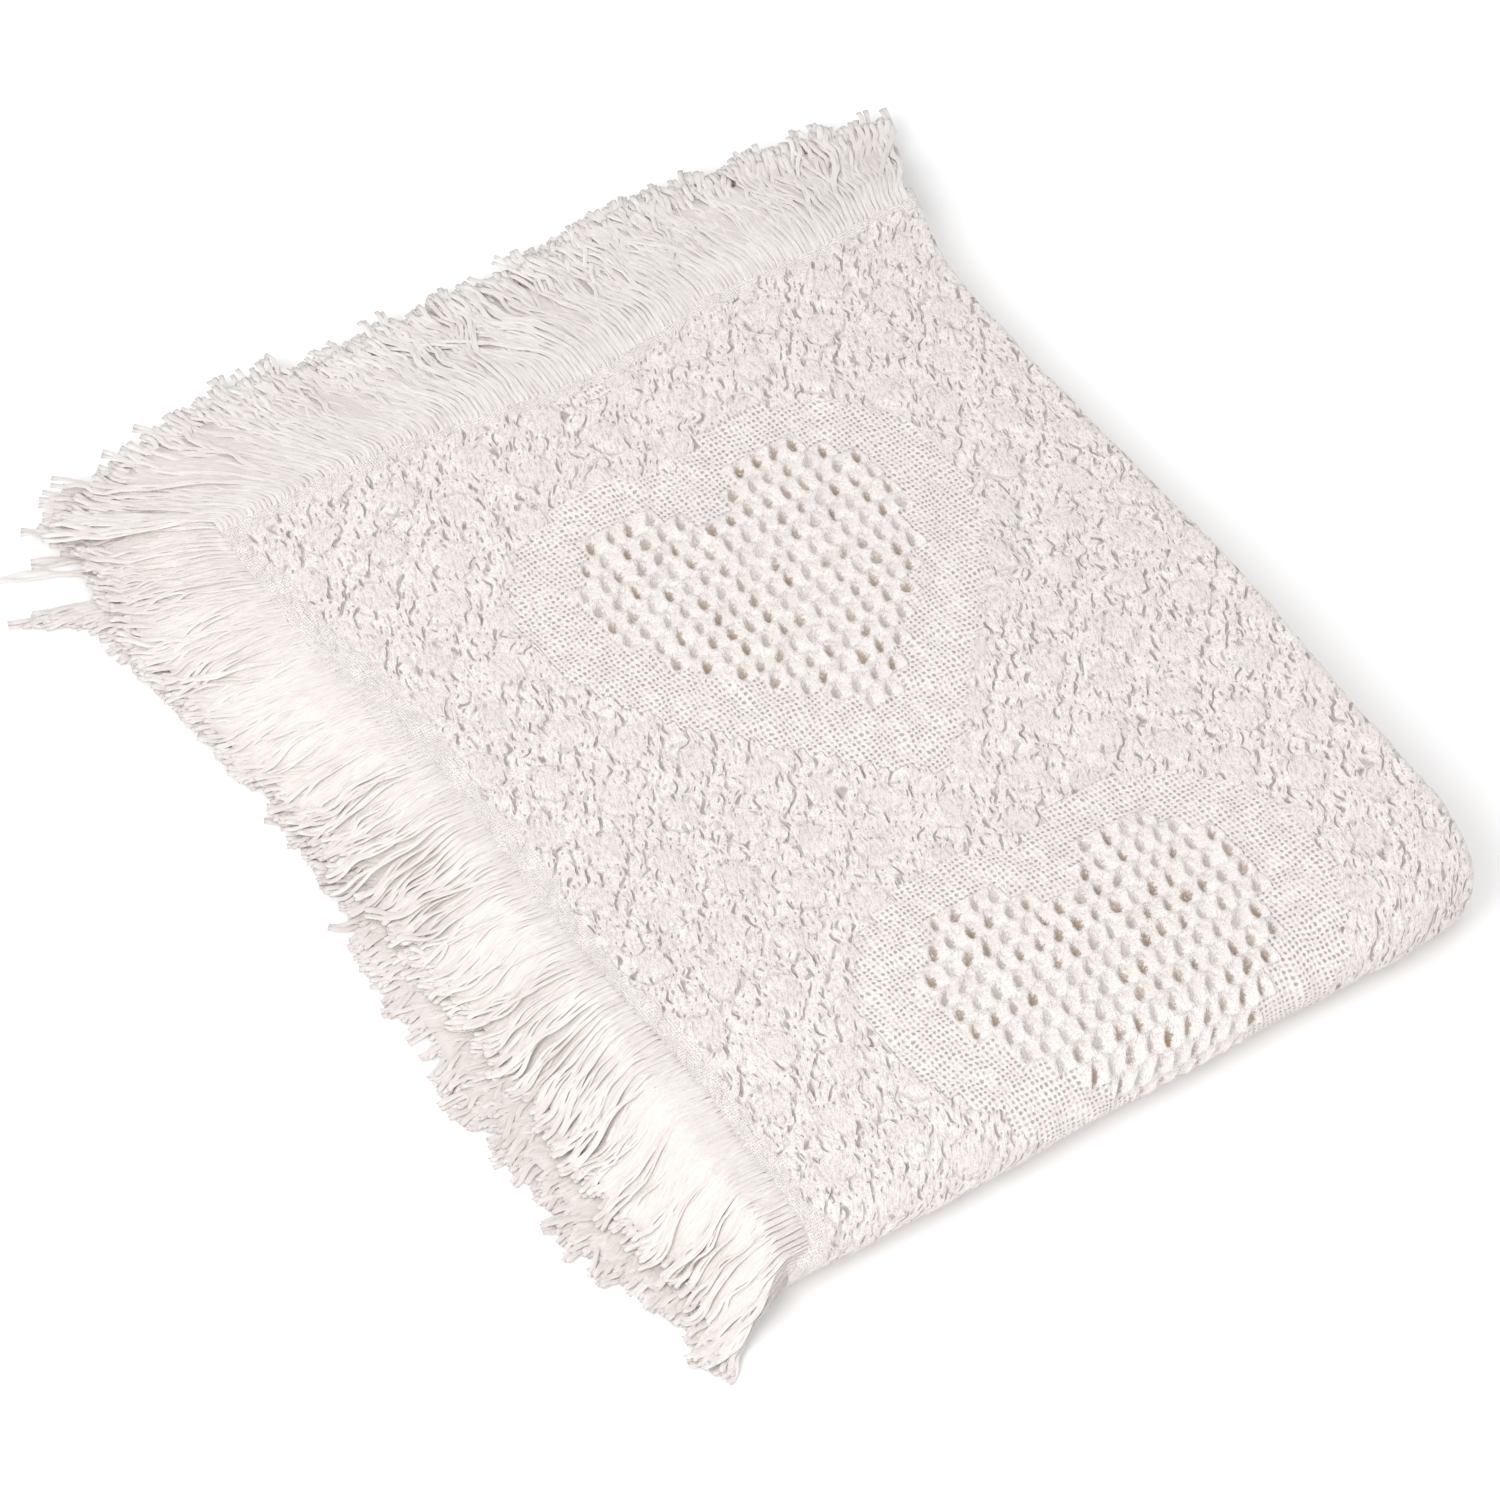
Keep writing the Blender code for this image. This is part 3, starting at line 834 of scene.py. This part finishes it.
def cloth_finish():
    """Matte cotton: crinkled ground, flat weave with pinholes round the pitted hearts, dense hems; painted
    shade in the slits, furrows, pinholes, pits, creases and under the arches.
    """
    f = Finish("cotton_cloth_woven", 0.95, 0.1)
    weave = f.node("UVMap")
    weave.uv_map = "weave"
    place = f.node("SeparateXYZ")
    f.link(weave.outputs[0], place.inputs[0])
    p, q = Field(f.tree, place.outputs[0]), Field(f.tree, place.outputs[1])
    plain, pitted, deep, hem = (f.attribute(name) for name in ("plain", "pitted", "deep", "hem"))
    ground = (plain + pitted).ramp(0.7, 0.3) * (hem * -0.7 + 1.0)

    fine = f.noise(weave.outputs[0], 15.0, 2.0, 0.7)
    broad, middle, other = f.noises(weave.outputs[0], 0.8, 2.0, 0.7)
    speck = f.noise(weave.outputs[0], 9.0, 2.0, 0.75)
    ground_shade, ground_height = ground_weave(f, p, q)
    plain_shade, plain_height = plain_weave(f, p, q)
    hem_shade, hem_height = plain_weave(f, p * HEM_FINER, q * HEM_FINER)
    pit, lip, pitted_height = pitted_weave(f, p, q)
    # Painted shade in a crease along the hem's inner edge, in patches
    crease_shade = (hem - 0.5).size().ramp(0.3, 0.0) * broad.ramp(0.48, 0.58) * 0.25

    colour = f.mixed(broad.ramp(0.35, 0.65), ROSE, CREAM)
    colour = f.mixed(middle.ramp(0.4, 0.7) * 0.35, colour, GREY)
    colour = f.mixed(hem * 0.6 + pitted * 0.5, colour, LIGHT)
    # Fine random specks towards the same dark colour
    colour = f.mixed(speck.ramp(0.48, 0.75) * 0.25 + fine.ramp(0.5, 0.75) * 0.3, colour, SHADE_AND_SPECKS)
    # Painted shade: the ground's slits, furrows, low strands and button rings, the pinholes of the flat weave
    # and hems, lines under the honeycomb's arches, and the hem's crease
    painted_shade = ground_shade * ground + plain_shade * plain + lip * pitted + hem_shade * hem * 0.4 + crease_shade
    colour = f.mixed(painted_shade, colour, SHADE_AND_SPECKS)
    # Painted shade in the pits, darker and browner in the deeper ones
    pit_shade_colour = f.mixed(deep.ramp(0.3, 0.8), PIT_SHADE_GREY, PIT_SHADE_BROWN)
    pit_shade_colour = f.mixed(other.ramp(0.5, 0.62) * 0.7, pit_shade_colour, PIT_SHADE_ROSE)
    colour = f.mixed(pit * pitted * (deep * 0.75 + 0.27), colour, pit_shade_colour)

    grain = fine * (hem * 0.2 + 0.9) + speck * (hem * 0.3 + 0.5)
    height = ground_height * ground + plain_height * plain + pitted_height * pitted + hem_height * hem * 0.4
    return f.done(colour, f.bumped(height + grain, 1.0 * MM))


def fringe_finish():
    """Matte twisted cotton yarn, each yarn with a random tone over its fringe's painted shade, and painted
    shadow in the pockets between the tiers.
    """
    f = Finish("cotton_yarn_twisted", 0.9, 0.1)
    place = f.node("TexCoord").outputs["Object"]
    fuzz = f.noise(place, 900.0, 2.0)
    broad = f.noise(place, 30.0, 2.0)
    tone = f.attribute("tone")
    # Painted shadow in the pockets: rose beyond the shaded tones, and beige in patches on their inner part
    pocket_shade = tone.ramp(*POCKET_SHADE_TONES)
    colour = f.mixed(tone, YARN_WHITE, YARN_SHADED)
    colour = f.mixed(broad.ramp(0.4, 0.7) * 0.3, colour, YARN_DULL)
    colour = f.mixed(pocket_shade, colour, POCKET_SHADE_ROSE)
    strand, share = f.attribute("strand"), f.attribute("share")
    beige_shade = pocket_shade * broad.ramp(0.54, 0.64) * share.ramp(0.75, 0.45)
    colour = f.mixed(beige_shade, colour, POCKET_SHADE_BEIGE)
    fibres = f.noise(f.place(strand * FIBRES_PER_MM, share * FIBRE_RUNS), 1.0, 2.0, 0.6)
    colour = f.mixed(fibres.ramp(0.52, 0.34) * 0.4, colour, FIBRE_SHADE)
    return f.done(colour, f.bumped(fuzz + fibres * 1.6, 0.4 * MM))


def lay_at(lays, at):
    """(lean, length) of the yarns here, blended between a table's rows."""
    lean = np.zeros_like(at)
    length = np.zeros_like(at)
    for low, high in zip(lays, lays[1:]):
        here = (at >= low.at) | (low is lays[0])
        share = smooth((at - low.at) / (high.at - low.at))
        lean = np.where(here, blend(low.lean, high.lean, share), lean)
        length = np.where(here, blend(low.length, high.length, share), length)
    return lean, length


def clumped(along, rng, width):
    """For each yarn: its clump's number, and how far it stands from the clump's middle."""
    bounds = [along.min()]
    while bounds[-1] < along.max():
        bounds.append(bounds[-1] + width * rng.uniform(0.6, 1.4))
    number = np.searchsorted(bounds, along, side="right") - 1
    bounds.append(bounds[-1] + width)
    middles = np.array([(low + high) / 2 for low, high in zip(bounds, bounds[1:])])
    return number, along - middles[number]


Draw = namedtuple("Draw", "steps plies sides")


class Yarns:
    """The yarns of one row: numbers drawn for each yarn and each clump, and how they stray."""

    def __init__(self, along, width, row):
        self.rng = np.random.default_rng(row.seed)
        self.sunk = row.sunk
        self.seed = row.seed
        self.share = np.linspace(0.0, 1.0, row.steps)[None, :]
        self.along = along + self.rng.normal(0.0, 0.25 * MM, len(along))
        self.clump, self.offset = clumped(self.along, self.rng, width)
        self.count = len(along)
        self.pull = self.of_clump(-0.06, 0.22)
        self.lean = self.slow(0.045, 1) * 0.22 + self.slow(0.018, 2) * 0.12
        self.phase = self.slow(0.050, 3) * 2 * math.pi
        self.lift = self.slow(0.020, 4) * PATCH_LIFT
        self.stray = np.where(self.of_yarn(0.0, 1.0) < STRAY_SHARE, self.of_yarn(-1.0, 1.0), 0.0)
        uneven = 1 + 0.09 * self.slow(0.026, 5)
        self.length = uneven * self.of_clump(0.94, 1.06) * self.of_yarn(0.91, 1.03)

    def of_yarn(self, low, high):
        return self.rng.uniform(low, high, self.count)[:, None]

    def of_clump(self, low, high):
        return self.rng.uniform(low, high, self.clump.max() + 1)[self.clump][:, None]

    def slow(self, size, salt):
        """A number from -1 to 1 for each yarn that changes slowly along the edge."""
        return patches(self.along, self.seed + 0 * self.along, size, salt)[:, None]

    def sideways(self, out):
        """How far each point of each yarn strays sideways: drawn to its clump, and in slow waves."""
        grown = smooth(self.share * 1.2)
        drawn = -self.offset[:, None] * self.pull * grown
        turn = 2 * math.pi * out / WAVE_LENGTH + self.phase + self.of_yarn(-0.6, 0.6)
        wave = np.sin(turn) * WAVE_SIZE
        length, size = self.of_yarn(0.015, 0.030), self.of_yarn(0.3, 1.4) * MM
        curl = np.sin(2 * math.pi * out / length + self.of_yarn(0, 6.3)) * size
        lean = self.lean + STRAY_LEAN * self.stray
        return drawn + (wave + curl + self.of_yarn(-1.2, 1.2) * MM) * grown + lean * out * grown

    def upwards(self, out):
        """How far each point rises above the fringe's own lay."""
        grown = smooth(self.share * 1.4)
        turn = 2 * math.pi * out / self.of_yarn(0.03, 0.05) + self.of_yarn(0, 6.3)
        wave = np.sin(turn) * SMALL_LIFT
        above = self.of_yarn(0.0, 0.5) * MM + STRAY_LIFT * np.abs(self.stray)
        return (self.lift + above + wave) * grown - self.sunk


Row = namedtuple("Row", "steps seed sunk")


def places(low, high, pitch, row):
    """Where the yarns of a row stand along an edge; a sunk row stands in the gaps of the one above."""
    count = int((high - low) / pitch)
    shift = 1.0 if row.sunk else 0.5
    return low + (np.arange(count) + shift) * (high - low) / count


def end_paths(layer, upper, row):
    """Paths of the end yarns of one straight stretch of the section."""
    stretch = STRETCHES[layer]
    yarns = Yarns(places(0.0, stretch.length, YARN_PITCH_ENDS, row), END_CLUMP, row)
    top = upper and layer == 0
    x = stretch.x + stretch.way * yarns.along[:, None]
    level = {OUTER: 2, MIDDLE: 1, INNER: 0}[stretch.height]
    rest = YARN_REST + TIP_STEP * (3 + level if upper else 2 - level)
    lean, length = lay_at(END_LAYS, x / HALF_WIDTH)
    reach = length * yarns.length / np.sqrt(1 + lean * lean)
    start = -ROOT_OVERLAP
    if top:
        start = -roots(END_ROOTS, yarns.along)[:, None] - yarns.of_yarn(0.0, ROOT_UNEVEN)
    out = blend(start, reach, yarns.share)
    beyond = np.maximum(out, 0.0)
    _, root_z = stack(stretch.height, -out if top else np.array(0.0 if upper else WHOLE_RUN))
    if top:
        root_z = root_z + on_cloth(out, start)
    z = blend(root_z, rest, smooth(beyond / reach * 1.15)) + yarns.upwards(beyond)
    splay = CORNER_SPLAY * yarns.of_yarn(0.0, 1.0) * (1 - smooth((x + HALF_WIDTH) / CORNER_WIDTH))
    x = x + (lean - splay) * beyond + yarns.sideways(out - start)
    too_far = np.maximum(0.0, x - HALF_WIDTH - END_SPREAD)
    return settle(x - SPREAD_DRAWN_IN * too_far, HALF_LENGTH + out, np.maximum(z, YARN_REST))


def on_cloth(out, start):
    """How far above the cloth's middle a yarn lies that leaves its face and runs on past the edge."""
    risen = smooth((out - start) / (4 * MM)) * (HALF_THICKNESS + YARN_RADIUS)
    return risen * (1 - 0.7 * smooth(out / (30 * MM)))


def side_paths(low, high, row):
    """Paths of the yarns of the side edge that shows, along this much of the U."""
    yarns = Yarns(places(low, high, YARN_PITCH_SIDES, row), SIDE_CLUMP, row)
    run = yarns.along[:, None]
    past_corner = CORNER_SINK * smooth(-run / (2 * MM))
    y, z = stack(OUTER, run)
    rest = blend(YARN_REST, UPPER_TIER_REST, (z - HALF_THICKNESS) / (2 * OUTER * swell(y)))
    rest = rest + FAN_LIFT * (1 - smooth(run / FAN_RUN))
    lean, length = lay_at(SIDE_LAYS, run / WHOLE_RUN)
    splay = yarns.of_yarn(-0.4, 1.0) * (1 - smooth((run + CORNER_RUN) / CORNER_WIDTH))
    lean = lean + CORNER_SPLAY * splay
    length = length * yarns.length
    drop = z - rest
    reach = np.sqrt((length ** 2 - drop ** 2) / (1 + lean * lean))
    shown = smooth((STRAIGHT_RUN + 0.5 * BEND_RUN - run) / (20 * MM))
    start = -blend(ROOT_OVERLAP, roots(SIDE_ROOTS, run) + yarns.of_yarn(0.0, ROOT_UNEVEN), shown)
    out = blend(start, reach, yarns.share)
    beyond = np.maximum(out, 0.0)
    y_above, z_above = stack(OUTER + on_cloth(out, start) * shown / FOLD_SWELL, run)
    z = blend(z_above, rest, smooth(beyond / reach * 1.1)) + yarns.upwards(beyond) - past_corner
    tuft = smooth((run - WHOLE_RUN + TUFT_WIDTH) / (6 * MM))
    gathered = TUFT_PULL * smooth(1.6 * beyond / reach) * (run - WHOLE_RUN + TUFT_WIDTH / 2)
    y = y_above + lean * beyond + yarns.sideways(out - start) * (1 - TUFT_CALM * tuft) - tuft * gathered
    return settle(-HALF_WIDTH - out, y, np.maximum(z, YARN_REST))


def hidden_paths(row):
    """Paths of the yarns of the inner side edge, flat between the layers."""
    yarns = Yarns(places(0.0, WHOLE_RUN, YARN_PITCH_SIDES, row), SIDE_CLUMP, row)
    out = blend(-ROOT_OVERLAP, HIDDEN_LOCK_LENGTH * np.minimum(yarns.length, 1.0), yarns.share)
    run = yarns.along[:, None] - 0.4 * yarns.offset[:, None] * smooth(yarns.share)
    y, z = stack(MIDDLE, run)
    return settle(FLAP_END + HIDDEN_GAP + out, y, z)


def across_paths(paths):
    """Unit vectors beside and above each point of each path."""
    ahead = unit(np.gradient(paths, axis=1))
    beside = unit(np.cross(ahead, np.array([0.0, 0.0, 1.0])))
    return beside, np.cross(beside, ahead)


def yarn_rings(paths, draw, rng):
    """Rings of points round each ply of each yarn, as (yarn, ply, step, side, xyz)."""
    count = len(paths)
    beside, above = across_paths(paths)
    lengths = np.linalg.norm(np.diff(paths, axis=1), axis=2)
    run = np.concatenate([np.zeros((count, 1)), np.cumsum(lengths, axis=1)], axis=1)
    share = run / run[:, -1:]
    pitch = rng.uniform(22, 40, (count, 1)) * MM
    phase = rng.uniform(0, 2 * math.pi, (count, 1))
    rock = PLY_ROCK * np.sin(2 * math.pi * run / pitch + phase)
    loose = rng.uniform(0.4, 2.0, (count, 1)) * MM
    apart = (PLY_APART + loose * smooth((share - 0.3) / 0.7)) if draw.plies > 1 else 0 * share
    thick = PLY_RADIUS * rng.uniform(0.85, 1.15, (count, 1)) * (1 + TIP_SWELL * share * share)
    rings = []
    for ply in range(draw.plies):
        angle = rock + 2 * math.pi * ply / draw.plies
        aside, up = (np.cos(angle) * apart)[..., None], (np.sin(angle) * apart)[..., None]
        middle = paths + aside * beside + up * above
        sides = []
        for side in range(draw.sides):
            turn = 2 * math.pi * side / draw.sides
            round_it = PLY_WIDE * math.cos(turn) * beside + PLY_HIGH * math.sin(turn) * above
            sides.append(middle + thick[..., None] * round_it)
        rings.append(np.stack(sides, axis=2))
    return np.stack(rings, axis=1)


def tubes(rings):
    """(points, faces) of a closed tube round each ply."""
    count, plies, steps, sides = rings.shape[:4]
    index = np.arange(count * plies * steps * sides).reshape(count * plies, steps, sides)
    beside = np.roll(index, -1, axis=2)
    quads = np.stack([index[:, :-1], beside[:, :-1], beside[:, 1:], index[:, 1:]], axis=-1)
    ends = np.concatenate([index[:, 0, ::-1], index[:, -1]])
    return rings.reshape(-1, 3), quads.reshape(-1, 4).tolist() + ends.tolist()


def tube_marks(rings, shades):
    """(tone, strand, share, rim) of each point of the tubes round each ply."""
    count, plies, steps, sides = rings.shape[:4]
    number, ply, step, side = np.indices((count, plies, steps, sides))
    strand = YARN_SPACING * number + 1.1 * ply + 0.8 * np.cos(2 * math.pi * side / sides)
    rim = 2 * side % sides == 0
    return shades[number].ravel(), strand.ravel(), (step / (steps - 1)).ravel(), rim.ravel()


def mat_under(paths, mat):
    """(points, faces, marks) of a thin closed mat under a row of yarns, short of their tips."""
    paths = paths[MAT_INSET:-MAT_INSET]
    _, above = across_paths(paths)
    for _ in range(MAT_SMOOTHING):
        beside = np.concatenate([paths[:1], paths, paths[-1:]])
        paths = (beside[:-2] + paths + beside[2:]) / 3
    kept = slice(0, int(MAT_SHARE * paths.shape[1]), 2)
    top = (paths + mat.height * above)[:, kept]
    low = (paths + (mat.height - MAT_THICKNESS) * above)[:, kept]
    columns, rows = top.shape[:2]
    index = np.arange(columns * rows).reshape(columns, rows)
    low_index = index + columns * rows
    faces = []
    for grid, turn in ((index, 1), (low_index, -1)):
        quads = np.stack([grid[:-1, :-1], grid[:-1, 1:], grid[1:, 1:], grid[1:, :-1]], axis=-1)
        faces += quads.reshape(-1, 4)[:, ::turn].tolist()
    for start, end in rim_pairs(columns - 1, rows - 1):
        corners = index[start], index[end], low_index[end], low_index[start]
        faces.append([int(corner) for corner in corners])
    number, step = np.indices((columns, rows))
    strand = np.tile(YARN_SPACING * number.ravel(), 2)
    share = np.tile(MAT_SHARE * step.ravel() / (rows - 1), 2)
    points = np.concatenate([top.reshape(-1, 3), low.reshape(-1, 3)])
    return points, faces, (np.full(len(points), mat.tone), strand, share, 0 * share)


def crease_rims(mesh, rim):
    """Marks the plies' side edges sharp, so that each is shaded as a soft flat ribbon."""
    ends = np.empty(2 * len(mesh.edges), np.int32)
    mesh.edges.foreach_get("vertices", ends)
    mesh.edges.foreach_set("use_edge_sharp", rim[ends].reshape(-1, 2).all(axis=1))


def make_yarns(name, groups, draw, tone_and_shade_from, seed, material):
    """One mesh of closed tubes, one for each ply of each yarn, with mats under some of the rows."""
    rng = np.random.default_rng(seed)
    points, faces, marks = [], [], {"tone": [], "strand": [], "share": [], "rim": []}
    for paths, mat in groups:
        rings = yarn_rings(paths, draw, rng)
        # Painted shade: each fringe starts from its own shaded tone, set for how the light falls on it, and
        # each yarn adds a random tone
        shades = tone_and_shade_from + rng.uniform(0.0, TONE_RANGE, len(paths))
        parts = [(*tubes(rings), tube_marks(rings, shades))]
        if mat is not None:
            parts.append(mat_under(paths, mat))
        for part_points, part_faces, part_marks in parts:
            start = sum(len(block) for block in points)
            points.append(part_points)
            for mark, values in zip(marks.values(), part_marks):
                mark.append(values)
            faces += [[start + k for k in face] for face in part_faces]
    points = np.concatenate(points)
    points[:, 2] = np.maximum(points[:, 2], LOWEST)
    mesh = bpy.data.meshes.new(name)
    mesh.from_pydata(points, [], faces)
    marks = {mark: np.concatenate(values) for mark, values in marks.items()}
    for mark in ("tone", "strand", "share"):
        add_attribute(mesh, mark, marks[mark])
    mesh.shade_smooth()
    crease_rims(mesh, marks["rim"] > 0)
    mesh.update()
    return new_object(name, mesh, material)


def make_fringes(material):
    """(piece, CAD node that it stands for) for each fringe."""
    middle_run = STRAIGHT_RUN + 0.5 * BEND_RUN
    long, medium, short = Draw(28, 2, 4), Draw(22, 2, 4), Draw(12, 1, 4)
    upper_ends = [
        (end_paths(0, True, Row(medium.steps, 10, 0.0)), None),
        (end_paths(0, True, Row(medium.steps, 11, SUNK_ROW)), END_MAT),
        (end_paths(4, True, Row(medium.steps, 12, 0.0)), None),
        (end_paths(2, True, Row(medium.steps, 13, 0.0)), None),
    ]
    lower_ends = [
        (end_paths(0, False, Row(medium.steps, 20, 0.0)), None),
        (end_paths(2, False, Row(medium.steps, 22, 0.0)), None),
        (end_paths(4, False, Row(medium.steps, 24, 0.0)), END_MAT),
    ]
    upper_side = [
        (side_paths(-CORNER_RUN, middle_run, Row(long.steps, 33, 0.0)), None),
        (side_paths(-CORNER_RUN, middle_run, Row(long.steps, 34, SUNK_ROW)), SIDE_MAT),
    ]
    lower_side = [
        (side_paths(middle_run, WHOLE_RUN, Row(medium.steps, 35, -SUNK_ROW)), None),
        (side_paths(middle_run, WHOLE_RUN, Row(medium.steps, 36, 0.0)), POCKET_SHADE_MAT),
    ]
    inner = [(hidden_paths(Row(short.steps, 37, 0.0)), None)]
    return (
        (make_yarns("end_yarns_upper", upper_ends, medium, END_TONE_AND_SHADE, 41, material), "fringe_end_upper"),
        (make_yarns("end_yarns_lower", lower_ends, medium, END_TONE_AND_SHADE, 42, material), "fringe_end_lower"),
        (make_yarns("side_yarns_upper", upper_side, long, SIDE_TONE_AND_SHADE, 43, material), "fringe_side_outer"),
        (make_yarns("side_yarns_lower", lower_side, medium, LOWER_TONE_AND_SHADE, 44, material), "fringe_side_outer"),
        (make_yarns("side_yarns_inner", inner, short, SIDE_TONE_AND_SHADE, 45, material), "fringe_side_inner"),
    )


# The stage: floor, lamps, and the camera with the point of the floor in the middle of its view
FLOOR_SIZE = 30.0
Lamp = namedtuple("Lamp", "name azimuth elevation distance size power")
LAMPS = (
    Lamp("key", -72.0, 50.0, 3.0, 1.8, 35.0),
    Lamp("fill", -40.0, 18.0, 3.0, 1.8, 8.0),
)
WORLD_STRENGTH = 0.92
CAMERA_AZIMUTH = -32.02
CAMERA_ELEVATION = 54.18
CAMERA_DISTANCE = 5.0
CAMERA_LENS = 209.56
CAMERA_AIM = (-0.0550, 0.0233, 0.0)


def make_floor():
    """A plain white floor with a very fine grain."""
    bpy.ops.mesh.primitive_plane_add(size=FLOOR_SIZE)
    floor = bpy.context.object
    floor.name = "floor"
    f = Finish("floor_paper", 0.9, 0.0)
    place = f.node("TexCoord").outputs["Object"]
    grain = f.noise(place, 60.0)
    colour = f.mixed(grain, PAPER_LOW, PAPER_HIGH)
    floor.data.materials.append(f.done(colour, f.bumped(grain, 0.05 * MM)))


def facing(azimuth, elevation):
    """The direction from the object to an eye or a light there."""
    a, e = math.radians(azimuth), math.radians(elevation)
    return Vector((math.sin(a) * math.cos(e), -math.cos(a) * math.cos(e), math.sin(e)))


def place_facing(thing, azimuth, elevation, distance, aim):
    """Puts a lamp or camera there, looking at the aim."""
    back = facing(azimuth, elevation)
    thing.location = Vector(aim) + back * distance
    thing.rotation_mode = "QUATERNION"
    thing.rotation_quaternion = (-back).to_track_quat("-Z", "Y")


def make_camera():
    camera = bpy.data.objects.new("camera", bpy.data.cameras.new("camera"))
    bpy.context.scene.collection.objects.link(camera)
    camera.data.lens = CAMERA_LENS
    camera.data.sensor_width = 36.0
    camera.data.clip_end = 60.0
    place_facing(camera, CAMERA_AZIMUTH, CAMERA_ELEVATION, CAMERA_DISTANCE, CAMERA_AIM)
    bpy.context.scene.camera = camera


def make_light(lamp):
    light = bpy.data.lights.new(lamp.name, "AREA")
    light.shape = "DISK"
    light.size = lamp.size
    light.energy = lamp.power
    holder = bpy.data.objects.new(lamp.name, light)
    bpy.context.scene.collection.objects.link(holder)
    place_facing(holder, lamp.azimuth, lamp.elevation, lamp.distance, (0.0, 0.0, 0.0))


def make_world():
    world = bpy.data.worlds.new("studio")
    world.use_nodes = True
    background = world.node_tree.nodes["Background"]
    background.inputs["Color"].default_value = (1.0, 1.0, 1.0, 1.0)
    background.inputs["Strength"].default_value = WORLD_STRENGTH
    scene = bpy.context.scene
    scene.world = world
    scene.view_settings.view_transform = "Standard"
    # Light passes from yarn to yarn many times in white cotton
    scene.cycles.max_bounces = 16
    scene.cycles.diffuse_bounces = 14


def main():
    make_camera()
    make_world()
    for lamp in LAMPS:
        make_light(lamp)
    make_floor()
    cloth = make_cloth(cloth_finish())
    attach(cloth, "root")
    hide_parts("cloth")
    for piece, node in make_fringes(fringe_finish()):
        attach(piece, "root")
        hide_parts(node)


main()
